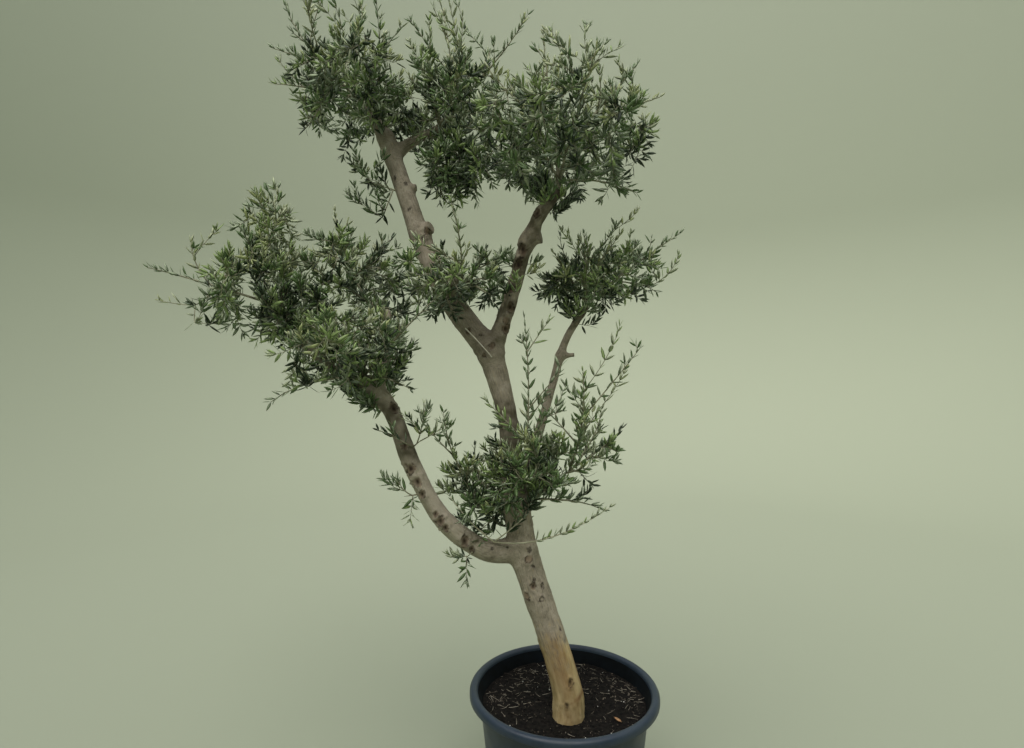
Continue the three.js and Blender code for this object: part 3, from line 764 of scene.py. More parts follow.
def olive_bark():
    """Young olive bark: matt grey-beige, mottled, with fine furrows along the grain. Scars are
    red-brown to black, and the wood near the soil is bare ochre. Painted shade darkens the trunk
    behind the low foliage and the upper crotch, and the upper right bough has dark blotches, partly
    of its bark and partly painted shade of the crown."""
    material, tree, shader = new_material("olive_bark", Roughness=0.88, Specular_IOR_Level=0.25)
    place = add(tree, "ShaderNodeTexCoord").outputs["Object"]
    grain = add(tree, "ShaderNodeAttribute", attribute_name="grain").outputs["Vector"]
    drawn_out = add(tree, "ShaderNodeMapping", {"Vector": grain, "Scale": (1, 1, 0.25)}).outputs[0]
    noise = {}
    for name, (vector, size, detail, rough) in {
        "furrows": (drawn_out, 4.5, 5.0, 0.6),
        "flecks": (place, 7, 4.0, 0.65),
        "pores": (place, 2.6, 4.0, 0.55),
    }.items():
        clouds = {"Vector": vector, "Scale": per_mm(size), "Detail": detail, "Roughness": rough}
        noise[name] = add(tree, "ShaderNodeTexNoise", clouds).outputs["Fac"]
    marked = {}
    for name in ("pale", "bare", "rust", "stain", "scar"):
        marked[name] = add(tree, "ShaderNodeAttribute", attribute_name=name).outputs["Fac"]
    fray = add(tree, "ShaderNodeMapRange", {0: noise["furrows"], 1: 0.3, 2: 0.7, 3: -0.4, 4: 0.4})
    frayed = add(tree, "ShaderNodeMath", {0: marked["bare"], 1: fray.outputs[0]}).outputs[0]
    ochre = mottled(tree, drawn_out, 16, ("#a68f63", "#d1bd92"), (0.3, 0.7), 3.0, 0.55)
    colour = mottled(tree, place, 34, ("#837b6c", "#b0a697"), (0.3, 0.7), 5.0, 0.6)
    # Each layer's share, where the share begins and is full, how much it then covers, its colour
    for share, low, high, cover, paint in (
        (noise["flecks"], 0.56, 0.72, 0.5, linear("#c4bbad")),
        (noise["furrows"], 0.5, 0.34, 0.45, linear("#574d3d")),
        (marked["pale"], 0, 1, 0.42, linear("#cbc1b0")),
        (frayed, 0.15, 0.85, 1, ochre),
        (marked["rust"], 0, 1, 0.75, linear("#704a2c")),
        # Painted shade, dark olive-brown, with the dark blotches of the upper right bough's bark
        (marked["stain"], 0, 1, 0.8, linear("#38331f")),
        (marked["scar"], 0, 1, 0.95, linear("#20140d")),
    ):
        covered = add(tree, "ShaderNodeMapRange", {0: share, 1: low, 2: high, 3: 0, 4: cover})
        mix = {"Factor": covered.outputs[0], "A": colour, "B": paint}
        colour = add(tree, "ShaderNodeMix", mix, data_type="RGBA").outputs["Result"]
    tree.links.new(colour, shader.inputs["Base Color"])
    cracks = {"Strength": 0.55, "Distance": 1.4 * MM, "Height": noise["furrows"]}
    cracked = add(tree, "ShaderNodeBump", cracks).outputs[0]
    pores = {"Strength": 0.35, "Distance": 0.8 * MM, "Height": noise["pores"], "Normal": cracked}
    tree.links.new(add(tree, "ShaderNodeBump", pores).outputs[0], shader.inputs["Normal"])
    return material


def sawn_off(points, stub):
    """Points past a stub's end are brought back to a flat cut there."""
    centre, way, radius = stub["centres"][-1], stub["along"][-1], stub["radii"][-1]
    past = (points - centre) @ way
    near = np.linalg.norm(points - centre, axis=1) < 2 * radius
    return points - np.where(near, np.maximum(past, 0), 0)[:, None] * way


def knots_of(named, stubs):
    """Every knot as its place, its radius and whether it has healed: those that show from the
    front, those at random on the other sides, and the sawn face of each stub."""
    random = np.random.default_rng(5)
    knots = []
    for table, healed in ((KNOTS, False), (HEALED_KNOTS, True)):
        for name, rows in table.items():
            knots += [(on_front(named[name], x, z), radius, healed) for x, z, radius in rows]
    knots += [(*knot, False) for limb in named.values() for knot in hidden_knots(limb, random)]
    return knots + [(stub["centres"][-1], stub["radii"][-1] * 0.8, False) for stub in stubs]


def carved_knots(points, knots):
    """How far each point is raised by a collar exp(-((d - 1.25) / 0.5)^2) round each knot and sunk
    in its pit exp(-(d / 0.75)^2), where d is the distance in radii, how far it is scarred by the
    pit's dark ring and spot, and how far reddened inside a large knot. A healed one is filled."""
    relief, scar, reddened = np.zeros((3, len(points)))
    uneven = 1 + 0.4 * lumps(points, 12, 10) + 0.25 * lumps(points, 5, 14)
    broken = smooth_step(-0.45, 0.1, lumps(points, 9, 12))
    for centre, radius, healed in knots:
        near = np.flatnonzero(np.linalg.norm(points - centre, axis=1) < 4 * radius)
        away = np.linalg.norm((points[near] - centre) * [1.1, 1, 0.8], axis=1) / radius * uneven[near]
        collar, pit = np.exp(-(((away - 1.25) / 0.5) ** 2)), np.exp(-((away / 0.75) ** 2))
        relief[near] += np.clip(0.3 * radius, 1, 3.2) * (collar - (0.1 if healed else 1.1) * pit)
        ring = np.exp(-(((away - 0.95) / max(0.16, 1.7 / radius)) ** 2)) * broken[near]
        spot = 0 if healed else np.exp(-((away / (0.4 + 2.2 / radius)) ** 2))
        scar[near] = np.maximum(scar[near], np.maximum(0.9 * ring, spot))
        if radius > LARGE_KNOT:
            reddened[near] = np.maximum(reddened[near], 0.55 * smooth_step(1.15, 0.7, away))
    return relief, scar, reddened


def bareness(points):
    """How bare the wood is: wholly under a wandering line, and less and less above it."""
    wander = BARE_WOOD["wander"] * (lumps(points, 42, 6) + 0.4 * lumps(points, 12, 16))
    top, blur = BARE_WOOD["top"], BARE_WOOD["blur"]
    return smooth_step(top + blur, top - blur, points[:, 2] + wander)


def rustiness(points, grain, bare):
    """Rust-coloured streaks along the grain of the bare wood, most of them high up on its left,
    and one slanting oval patch on its front."""
    high, left = smooth_step(*RUST["high"], points[:, 2]), smooth_step(*RUST["left"], points[:, 0])
    streaks = lumps(grain * [1, 1, RUST["stretch"]], RUST["streak"], 7)
    streaked = bare * smooth_step(-0.2 - 0.9 * high * left, 0.6, streaks) * (0.3 + 0.7 * high)
    right, up = points[:, 0] - RUST_PATCH["x"], points[:, 2] - RUST_PATCH["z"]
    up = up - RUST_PATCH["slope"] * right
    from_patch = np.hypot(right / RUST_PATCH["width"], up / RUST_PATCH["height"])
    patch = np.exp(-((from_patch * (1 + 0.5 * lumps(points, 10, 18))) ** 2))
    return np.maximum(streaked, patch * (points[:, 1] < TRUNK_FOOT[1]))


def painted_shade_and_stain(points, right_fork):
    """How dark the bark is painted: painted shade in a ragged band on the trunk behind the low
    foliage and in the upper crotch, and blotches on the upper right bough, partly dark bark and
    partly painted shade of the crown."""
    ragged = points[:, 2] + PAINTED_SHADE_BAND["ragged"] * lumps(points, 22, 15)
    band = smooth_step(*PAINTED_SHADE_BAND["bottom"], points[:, 2]) * smooth_step(*PAINTED_SHADE_BAND["top"], ragged)
    band *= (points[:, 0] < PAINTED_SHADE_BAND["right"]) * (0.95 + 0.35 * lumps(points, 13, 17))
    from_crotch = np.linalg.norm(points - PAINTED_CROTCH_SHADE["place"], axis=1) / PAINTED_CROTCH_SHADE["reach"]
    blotches = 0.3 + 0.7 * smooth_step(-0.25, 0.2, lumps(points, RIGHT_FORK["blotch"], 8))
    darkest = np.max([band, 0.8 * np.exp(-(from_crotch**2)), right_fork * blotches], axis=0)
    return darkest * (0.75 + 0.25 * lumps(points, 20, 9))


def paleness(points):
    """How pale the bark is: more and more along the low bough, away from the trunk."""
    low_bough = smooth_step(*PALE_BOUGH["x"], points[:, 0]) * smooth_step(*PALE_BOUGH["z"], points[:, 2])
    return low_bough * (0.7 + 0.3 * lumps(points, 30, 20))


def wood_body():
    """The skin of all limbs, drawn onto their blended surface, then raised along it by lumps,
    flutes that follow the grain, and a collar with a pit in it for each knot. It also gives how
    far each point is scarred, stained or painted with shade, bare, rust-coloured or pale, and its
    place in the grain."""
    named = {name: limb_samples(limb["path"]) for name, limb in LIMBS.items()}
    stubs = [stub_samples(limb, stub) for limb in LIMBS.values() for stub in limb.get("stubs", [])]
    limbs = [*named.values(), *stubs]
    bodies = [tubes(limb["centres"][None], limb["radii"][None], 20) for limb in limbs]
    points, faces = voxel_skin(*joined(bodies), WOOD_VOXEL)
    for _ in range(4):
        out, distance, weights, found = blended(limbs, points)
        points = points - out * distance[:, None]
    grain = grain_at(limbs, weights, found)
    thick = sum(w * limb["radii"][f[2]] for w, limb, f in zip(weights, limbs, found))
    relief = sum(height * lumps(points, size, seed) for height, size, seed in BARK_LUMPS)
    drawn_out = grain * [1, 1, FLUTES["stretch"]]
    sharp = np.abs(lumps(drawn_out, FLUTES["sharp_width"], 5))
    relief += FLUTES["round"] * lumps(drawn_out, FLUTES["round_width"], 4) - FLUTES["sharp"] * sharp
    relief *= np.clip(thick / SMOOTH_LIMB, 0.25, 1)
    right_fork = smooth_step(*RIGHT_FORK["x"], points[:, 0]) * smooth_step(*RIGHT_FORK["z"], points[:, 2])
    relief += right_fork * RIGHT_FORK["height"] * lumps(points, RIGHT_FORK["lump"], 19)
    collars, scar, reddened = carved_knots(points, knots_of(named, stubs))
    points = points + out * (relief + collars)[:, None]
    for stub in stubs:
        points = sawn_off(points, stub)
    points[:, 2] = np.maximum(points[:, 2], WOOD_FOOT)
    bare = bareness(points)
    rust = np.maximum(rustiness(points, grain, bare), reddened)
    stain, pale = painted_shade_and_stain(points, right_fork), paleness(points)
    return points, faces, {"scar": scar, "stain": stain, "bare": bare, "rust": rust, "pale": pale}, grain


points, faces, marks, grain = wood_body()
wood = new_piece("trunk_and_boughs", points, [faces], [olive_bark()])
for name, values in marks.items():
    wood.data.attributes.new(name, "FLOAT", "POINT").data.foreach_set("value", values.astype(np.float32))
stored = wood.data.attributes.new("grain", "FLOAT_VECTOR", "POINT")
stored.data.foreach_set("vector", (grain * MM).astype(np.float32).ravel())
dress(wood, "bark", *LIMBS)

# The foliage
# Each pad of the crown is a branching of its own: a stem from the end of its bough, shoots that
# fork off it, side twigs on those, and narrow leathery leaves in crossed pairs along them all.

# A mass's root is where it grows from its bough. Its pads are centres and radii, and its leaders
# the tips of its leading shoots. Its whips rise above its pads, and leaf is the size of a leaf.
# SPRIG is what the small ones share.
SPRIG = {"shoots": 0, "whips": 0, "rise": 0, "leaf": 0.95, "tufts": False}
MASSES = {
    "foliage_left_outer": {
        "root": (-830, -100, 1555),
        "pads": [((-945, -60, 1680), (150, 250, 120)), ((-905, -85, 1835), (66, 105, 140)),
                 ((-850, -100, 1590), (110, 150, 75))],
        "leaders": [
            (-1318, -60, 1770),
            (-1165, -85, 1628),
            (-1270, -80, 1662),
            (-1108, -120, 1568),
            (-1172, -60, 1864),
            (-1114, 30, 1911),
            (-1060, 200, 1790),
            (-872, -70, 2004),
            (-840, -150, 1900),
        ],
        "shoots": 13,
        "whips": 26,
        "rise": 110,
        "leaf": 0.98,
    },
    "foliage_left_inner": {
        "root": (-562, -10, 1625),
        "pads": [((-700, 50, 1712), (190, 260, 150))],
        "leaders": [
            (-735, -20, 1971),
            (-690, 20, 1915),
            (-537, 20, 1889),
            (-459, 60, 1621),
            (-690, 290, 1820),
        ],
        "shoots": 4,
        "whips": 19,
        "rise": 90,
        "leaf": 0.98,
    },
    "foliage_left_low": {
        "root": (-590, -112, 1395),
        "pads": [((-640, -170, 1495), (165, 190, 120))],
        "leaders": [(-342, -230, 1683), (-890, -180, 1345), (-434, -200, 1384)],
        "shoots": 6.5,
        "whips": 8,
        "rise": 50,
        "leaf": 0.95,
    },
    "foliage_top_left": {
        "root": (-660, 112, 2350),
        "pads": [((-692, 110, 2370), (200, 290, 136))],
        "leaders": [
            (-937, 80, 2680),
            (-997, 100, 2540),
            (-788, 60, 2690),
            (-655, 120, 2655),
            (-560, 60, 2560),
            (-980, 60, 2395),
            (-850, 20, 2215),
            (-730, 370, 2530),
        ],
        "shoots": 12.6,
        "whips": 40,
        "rise": 240,
        "leaf": 0.98,
    },
    "foliage_top_centre": {
        "root": (-430, 140, 2270),
        "pads": [((-375, 150, 2345), (185, 280, 150)), ((-350, 90, 2120), (115, 140, 105))],
        "leaders": [
            (-403, 120, 2695),
            (-520, 100, 2640),
            (-96, 60, 2640),
            (-240, 180, 2570),
            (-300, 410, 2470),
        ],
        "shoots": 15,
        "whips": 42,
        "rise": 245,
        "leaf": 0.98,
    },
    "foliage_top_right": {
        "root": (-20, -80, 1990),
        "pads": [((-28, -60, 2140), (270, 300, 150))],
        "leaders": [
            (-72, -60, 2511),
            (145, -60, 2483),
            (235, -80, 2400),
            (318, -60, 2300),
            (247, -60, 1990),
            (60, -360, 2300),
            (110, 230, 2320),
        ],
        "shoots": 17,
        "whips": 64,
        "rise": 200,
        "leaf": 0.98,
    },
    "foliage_mid": {
        "root": (-335, -60, 1725),
        "pads": [((-280, -85, 1705), (115, 150, 100)), ((-437, -95, 1708), (85, 130, 110))],
        "leaders": [(-343, -190, 1954), (-230, -60, 1840), (-150, -60, 1822)],
        "shoots": 2.6,
        "whips": 8,
        "rise": 60,
        "leaf": 0.95,
    },
    "foliage_right": {
        "root": (84, 126, 1655),
        "pads": [((85, 120, 1738), (130, 190, 85)), ((215, 120, 1760), (120, 160, 88)),
                 ((-20, 100, 1732), (90, 130, 78))],
        "leaders": [
            (80, 120, 1936),
            (202, 120, 1943),
            (274, 100, 1994),
            (423, 110, 1923),
            (352, 120, 1705),
            (150, 330, 1850),
        ],
        "shoots": 8,
        "whips": 22,
        "rise": 130,
        "leaf": 0.98,
    },
    "foliage_low_front": {
        "root": (-154, -24, 1060),
        "pads": [((-95, -120, 1135), (140, 140, 115))],
        "leaders": [(-127, -90, 1629), (-39, -70, 1615), (-6, -100, 1454), (-40, -140, 1330),
                    (-262, -105, 1372)],
        "shoots": 1.4,
        "whips": 16,
        "rise": 70,
        "leaf": 1.06,
    },
    "foliage_low_right": {
        "root": (-150, -28, 1005),
        "pads": [((30, -30, 1140), (125, 190, 120))],
        "leaders": [
            (55, -80, 1467),
            (78, -80, 1410),
            (180, -70, 1602),
            (245, -70, 1531),
            (196, -50, 1278),
            (178, -50, 1157),
            (134, -70, 1014),
            (150, 130, 1330),
        ],
        "shoots": 0.8,
        "whips": 20,
        "rise": 200,
        "leaf": 1.06,
    },
    "foliage_low_left": {
        "root": (-146, -30, 985),
        "pads": [((-302, -15, 1042), (104, 150, 104)), ((-268, -10, 1000), (104, 140, 92)),
                 ((-222, 5, 968), (58, 110, 66))],
        "leaders": [(-388, -60, 1337), (-340, -80, 1190), (-300, 130, 1210)],
        "shoots": 3,
        "whips": 12,
        "rise": 110,
        "leaf": 1.06,
        "tufts": False,  # the bough that passes under it is bare
    },
    "sprig_low_bough": {
        **SPRIG,
        "root": (-482, -109, 1198),
        "pads": [((-430, -150, 1240), (90, 90, 90))],
        "leaders": [(-421, -140, 1370), (-560, -230, 1285), (-350, -120, 1290)],
    },
    "sprig_bough_side": {
        **SPRIG,
        "root": (-425, -101, 1072),
        "pads": [((-485, -140, 1070), (90, 90, 80))],
        "leaders": [(-515, -150, 1135), (-450, -160, 1040)],
    },
    "sprig_under_bough": {
        **SPRIG,
        "root": (-272, -65, 897),
        "pads": [((-300, -130, 888), (84, 76, 54))],
        "leaders": [(-326, -120, 890), (-298, -138, 884)],
        "leaf": 0.9,
    },
    "sprig_upper_left": {
        **SPRIG,
        "root": (-520, 85, 2035),
        "pads": [((-622, 50, 2060), (75, 80, 100))],
        "leaders": [(-600, 50, 1925), (-660, 40, 1985), (-690, 50, 2160)],
        "shoots": 0.7,
    },
}
# A leaf, and how its size varies: by chance, on a hanging twig, and how much less it is at a tip
LEAF = {"length": 39, "width": 9.3, "rib": 1, "bow": 0.06, "bow_varies": 0.08,
        "varies": (0.7, 1.2), "hanging": 1.1, "less_at_tip": 0.4}
LEAF_STATIONS = [(0.3, 0.47), (0.68, 0.43)]  # share of the length, and half the width there
# How far leaves stand out at the foot of a twig and how far they close up to its tip, in degrees,
# how much they turn up to the light, less so on an upright twig, and how far they roll
STANCE = {"out": 60, "closes": 34, "varies": 9, "lift": 0.6, "less_upright": 0.4, "hanging": 0.3,
          "roll": 1.7}
FALLS = -0.15  # a twig whose way has less of up in it than this one hangs
PAIRS = {"whip": (0.12, 23), "shoot": (0.35, 14), "twig": (0.1, 11.5)}  # first share, then spacing
SHOOTS_MORE = 9  # times as many shoots as the plain solids have
SPACE_REACH = 1.2  # how far a mass's space goes, in radii of its pads
SPACE_MARGIN = -0.35  # how far it may pass into its neighbours, as twigs do
WHIP_REACH = 2.6  # how far a whip may go from its pad, in the pad's radii
WHIP_RISE = (0.2, 1)  # how far a whip ends above the top of its pad, in shares of the rise
WHIP_SPREAD = 0.9  # of the pad's area, over which whips rise
LEADER_REACH = 80  # radius of a leading shoot's own space
# Ends of the other shoots: the spiral's drop in pad heights, and how far out they lie in the pad
SPIRAL = {"drop": 1.85, "far": (0.75, 1.1), "every": 3, "inner": 0.55}
# Where a shoot forks off: not too near a twig's foot, nor where the way turns much, nor in a limb,
# and a whip well below its tip
FORK = {"first": 0.25, "turning": 1.5, "climb": 3, "steep": 0.75, "room": 2, "buried": 1e6}
# A shoot ends short of its tip by a share of a leaf's length, but never before a least share
SHOOT = {"foot": 4.2, "tip": 1, "thinning": 0.45, "narrower": 0.8, "ahead": 0.12, "room": 4,
         "sides": 5, "steps": 6, "short": 0.7, "least": 0.4}
# Where a shoot bends, in shares of its way: level, and up or down
BENDS = {"whip": (0.62, 0.45), "rising": (0.8, 0.3), "falling": (0.75, 1.25)}
COMPANIONS = {"count": 2, "slope": 0.4, "share": (0.5, 0.92), "spread": 30}  # by steep leaders
STEM = {"foot": 10, "sprig_foot": 4, "tip": 0.5, "sides": 8}
TWIG = {"foot": 1.3, "tip": 0.7, "sides": 3, "steps": 3, "bend_room": 4, "tip_room": 8,
        "angle_varies": (0.75, 1.25), "length_varies": (0.75, 1.15), "hanging_lift": 0.2}
SIDE_TWIGS = {"spacing": 17, "length": (36, 88), "angle": 42, "lift": 1.4, "shares": (0.28, 0.94),
              "reach": 1.5}
WHIP_TWIGS = {"spacing": 30, "length": (36, 84), "angle": 32, "lift": 0.9, "shares": (0.1, 0.6),
              "reach": 1.25}
# Twigs straight out of old bark, in and near the pads and round the end of the bough
TUFTS = {"spacing": 6, "length": (40, 95), "depth": 1.5, "reach": 130, "overhang": 70}
TINTS = {  # upper face and underside of the leaves, and how likely a spray has them
    "old": ("#283920", "#808f77", 0.27),
    "grown": ("#5f774a", "#a7b597", 0.38),
    "fresh": ("#8da367", "#bac5a3", 0.3),
    "young": ("#a4ae7a", "#c4cca9", 0.05),
}
# Higher sprays get more of the pale fresh and young tints, lower ones more of the dark old tint: partly
# younger leaves at the top, partly painted light on the pads' tops and painted shade under them
FRESHER_AND_LIT = 0.16  # how much more likely a younger tint is, one pad's height above its middle
BOX_ROOM = 15  # how far a leaf may reach out of the plain solids' box


def unit(vectors):
    """Vectors of the same directions, one long."""
    return vectors / np.maximum(np.linalg.norm(vectors, axis=-1, keepdims=True), 1e-9)


def depth_in_pads(mass, places):
    """How deep places lie in a mass's pads: 0 in the middle of one, 1 at its surface."""
    return np.min([np.linalg.norm((places - at) / radii, axis=1) for at, radii in mass["pads"]], axis=0)


def depth_in(mass, places):
    """How deep places lie in a mass: 0 in the middle of a pad or leader, 1 at its surface."""
    depths = [depth_in_pads(mass, places)]
    heart = np.array(mass["pads"][0][0], float)
    for tip in mass["leaders"]:
        way = np.array(tip) - heart
        share = np.clip((places - heart) @ way / (way @ way), 0, 1)
        depths.append(np.linalg.norm(places - heart - share[:, None] * way, axis=1) / LEADER_REACH)
    return np.min(depths, axis=0)


def in_space(mass, places, reach=SPACE_REACH):
    """A mass's own space is near its pads and leaders, where no other mass is deeper."""
    depth = depth_in(mass, places)
    others = np.min([depth_in(other, places) for other in MASSES.values() if other is not mass], axis=0)
    return (depth < reach) & (others > depth + SPACE_MARGIN)


def near_root(mass, places, reach):
    """Whether places lie near the mass's root and not far under it."""
    from_root = places - np.array(mass["root"], float)
    return (np.linalg.norm(from_root, axis=1) < reach) & (from_root[:, 2] > -0.4 * reach)


WOOD = [limb_samples(limb["path"]) for limb in LIMBS.values()]


def clear_of_wood(places, room):
    """Whether places lie at least that far outside every limb's bark."""
    return np.min([nearest_on(limb, places)[1] for limb in WOOD], axis=0) > room


def whips_above(mass, random):
    """Where upright whips end, by chance above the domed tops of the mass's pads."""
    count = mass["whips"]
    pads = np.array(mass["pads"], float)[np.arange(count) % len(mass["pads"])]
    turn, off = random.uniform(0, TURN, count), np.sqrt(random.uniform(0, WHIP_SPREAD, count))
    dome = np.stack([off * np.cos(turn), off * np.sin(turn), np.sqrt(1 - off**2)], axis=-1)
    rise = mass["rise"] * random.uniform(*WHIP_RISE, (count, 1)) * [0, 0, 1]
    return pads[:, 0] + pads[:, 1] * dome + rise


def shoot_tips(mass, random):
    """Where shoots end. The whips end at the leaders' tips, at their companions' beside the steep
    ones and above the pads. The others end on a spiral down each pad in even steps, turned by
    the golden angle, and every third one ends deeper inside."""
    leaders = np.array(mass["leaders"], float)
    heart = np.array(mass["pads"][0][0], float)
    steep = unit(leaders - heart)[:, 2] > COMPANIONS["slope"]
    beside = np.repeat(leaders[steep], COMPANIONS["count"], axis=0)
    beside = heart + (beside - heart) * random.uniform(*COMPANIONS["share"], (len(beside), 1))
    beside += random.normal(size=beside.shape) * COMPANIONS["spread"]
    whips = np.concatenate([leaders, beside, whips_above(mass, random)])
    golden = TURN / 2 * (3 - math.sqrt(5))
    count = round(mass["shoots"] * SHOOTS_MORE)
    number = np.arange(count)
    pads = np.array(mass["pads"], float)[number % len(mass["pads"])]
    rise = 1 - SPIRAL["drop"] * (number + 0.5) / max(count, 1)
    turn = number * golden + random.uniform(0, 1, count)
    flat = np.sqrt(1 - rise**2)
    out = np.stack([flat * np.cos(turn), flat * np.sin(turn), rise], axis=-1).reshape(-1, 3)
    inner = number % SPIRAL["every"] == SPIRAL["every"] - 1
    far = np.where(inner, SPIRAL["inner"], 1)[:, None] * random.uniform(*SPIRAL["far"], (count, 1))
    return whips, pads[:, 0] + pads[:, 1] * out * far


def on_curves(curves, share):
    """Places and directions on curves of three points, start, bend and end: at share t,
    (1-t)^2 start + 2t(1-t) bend + t^2 end. curves is (curve, 3, 3) and share (curve, step)."""
    start, bend, end = (curves[:, i][:, None] for i in range(3))
    t = share[..., None]
    place = (1 - t) ** 2 * start + 2 * t * (1 - t) * bend + t**2 * end
    return place, unit((1 - t) * (bend - start) + t * (end - bend))


def best_fork(tip, is_whip, places, ways):
    """The number of the place that a shoot forks off: the cost of each is its distance from the
    tip, more where the wood there turns away from it, and more where a whip would not climb."""
    reach = tip - places
    apart = np.linalg.norm(reach, axis=1)
    straight = np.sum(ways * reach, axis=1) / np.maximum(apart, 1)
    buried = np.where(clear_of_wood(places, FORK["room"]), 0, FORK["buried"])
    cost = apart * (FORK["turning"] - straight) + buried
    if is_whip:
        cost += FORK["climb"] * np.maximum(FORK["steep"] * apart - reach[:, 2], 0)
    return np.argmin(cost)


def shoot_curve(start, way, tip, is_whip):
    """A shoot as its start, bend and end. It goes outwards first, and a little along the wood's
    own way, and bends up or down to end short of the tip, where its last leaf reaches it."""
    reach = tip - start
    apart = np.linalg.norm(reach, axis=-1)
    end = start + reach * max(1 - SHOOT["short"] * LEAF["length"] / apart, SHOOT["least"])
    rises = end[2] > start[2] - (0.3 * apart if is_whip else 0)
    kind = "falling" if not rises else "whip" if is_whip else "rising"
    level, upright = BENDS[kind]
    bend = start + (end - start) * [level, level, upright] + SHOOT["ahead"] * way * apart
    return np.stack([start, bend, end])


def grow_shoots(mass, random):
    """A stem from the root to the heart, then one shoot for each tip, which forks off the wood so
    far. One that would leave the mass's space or meet a limb is skipped. It gives the curves,
    their radii at the foot, and which are whips."""
    heart = np.array(mass["pads"][0][0], float)
    root = np.array(mass["root"], float)
    stem = np.stack([root, (root + heart) / 2, heart])
    stem_foot = STEM["foot"] if mass["whips"] else STEM["sprig_foot"]
    curves, feet, kinds = [stem], [stem_foot], [False]
    steps = np.linspace(FORK["first"], 1, 12)[None]
    places, ways = (v[0] for v in on_curves(stem[None], steps))
    thinner = 1 - SHOOT["thinning"] * steps[0]
    radii = stem_foot * thinner
    whips, others = shoot_tips(mass, random)
    for number, tip in enumerate(np.concatenate([whips, others])):
        is_whip = number < len(whips)
        fork = best_fork(tip, is_whip, places, ways)
        curve = shoot_curve(places[fork], ways[fork], tip, is_whip)
        outer, _ = (v[0] for v in on_curves(curve[None], np.linspace(0.35, 1, 8)[None]))
        inside = in_space(mass, outer, WHIP_REACH if is_whip else SPACE_REACH)
        if not (inside.all() and clear_of_wood(outer, SHOOT["room"]).all()):
            continue
        foot = min(SHOOT["narrower"] * radii[fork], SHOOT["foot"])
        curves.append(curve)
        feet.append(foot)
        kinds.append(is_whip)
        more_places, more_ways = (v[0] for v in on_curves(curve[None], steps))
        places, ways = np.concatenate([places, more_places]), np.concatenate([ways, more_ways])
        radii = np.concatenate([radii, foot * thinner])
    return np.array(curves), np.array(feet), np.array(kinds)


def slots_on(curves, spacing, first, last):
    """Evenly spaced shares along each curve between two shares, as many as fit its length: the
    curve's number, the slot's number on it and the share of each."""
    length = np.linalg.norm(np.diff(curves, axis=1), axis=2).sum(axis=1)
    count = np.maximum((length * (last - first) / spacing).astype(int), 1)
    curve = np.repeat(np.arange(len(curves)), count)
    number = np.arange(len(curve)) - np.repeat(np.cumsum(count) - count, count)
    return curve, number, first + (last - first) * (number + 0.5) / count[curve]


def ways_out(way, turn):
    """Directions square to a way, at an angle round it from a level start."""
    side = unit(np.cross(way, np.array([0.05, 0.02, 1])))
    return np.cos(turn)[:, None] * side + np.sin(turn)[:, None] * np.cross(way, side)


def grow_twigs(mass, shoots, habit, random):
    """Side twigs on shoots. They leave at an angle, turn up, and are longest where the shoot is
    oldest. One that leaves the mass's pads by more than a share or meets the wood is skipped."""
    curve, number, share = slots_on(shoots, habit["spacing"], *habit["shares"])
    start, way = (v[:, 0] for v in on_curves(shoots[curve], share[:, None]))
    out = ways_out(way, number * TURN * 0.382 + random.uniform(0, 1.5, len(curve)))
    angle = np.radians(habit["angle"]) * random.uniform(*TWIG["angle_varies"], (len(curve), 1))
    direction = unit(way * np.cos(angle) + out * np.sin(angle))
    low, high = habit["length"]
    length = high - (high - low) * share[:, None]
    length = length * random.uniform(*TWIG["length_varies"], (len(curve), 1))
    bend = start + direction * length * 0.5
    lift = habit["lift"] * np.where(way[:, 2:] > FALLS, 1, TWIG["hanging_lift"]) * [0, 0, 1]
    end = bend + unit(direction + lift) * length * 0.5
    kept = in_space(mass, end, WHIP_REACH) & (depth_in_pads(mass, end) < habit["reach"])
    kept &= clear_of_wood(end, TWIG["tip_room"]) & clear_of_wood(bend, TWIG["bend_room"])
    return np.stack([start, bend, end], axis=1)[kept]


def grow_tufts(mass, random):
    """Short leafy twigs straight out of the bark, where limbs pass through the mass and round the
    end of the limb that bears it."""
    curves = []
    for limb in WOOD if mass.get("tufts", True) else []:
        bark = limb["centres"]
        leafy = in_space(mass, bark) & (depth_in_pads(mass, bark) < TUFTS["depth"])
        leafy |= near_root(mass, bark, TUFTS["reach"])
        leafy = np.flatnonzero(leafy & (random.uniform(size=len(bark)) < WOOD_STEP / TUFTS["spacing"]))
        turn = random.uniform(0, TURN, (len(leafy), 1))
        out = np.cos(turn) * limb["side"][leafy] + np.sin(turn) * limb["across"][leafy]
        length = random.uniform(*TUFTS["length"], (len(leafy), 1))
        start = bark[leafy] + 0.9 * limb["radii"][leafy][:, None] * out
        bend = start + 0.45 * length * out
        end = bend + 0.55 * length * unit(out + [0, 0, SIDE_TWIGS["lift"]])
        kept = in_space(mass, end) | near_root(mass, end, TUFTS["reach"] + TUFTS["overhang"])
        kept &= clear_of_wood(end, TWIG["tip_room"]) & clear_of_wood(bend, TWIG["bend_room"])
        curves.append(np.stack([start, bend, end], axis=1)[kept])
    return np.concatenate(curves) if curves else np.empty((0, 3, 3))


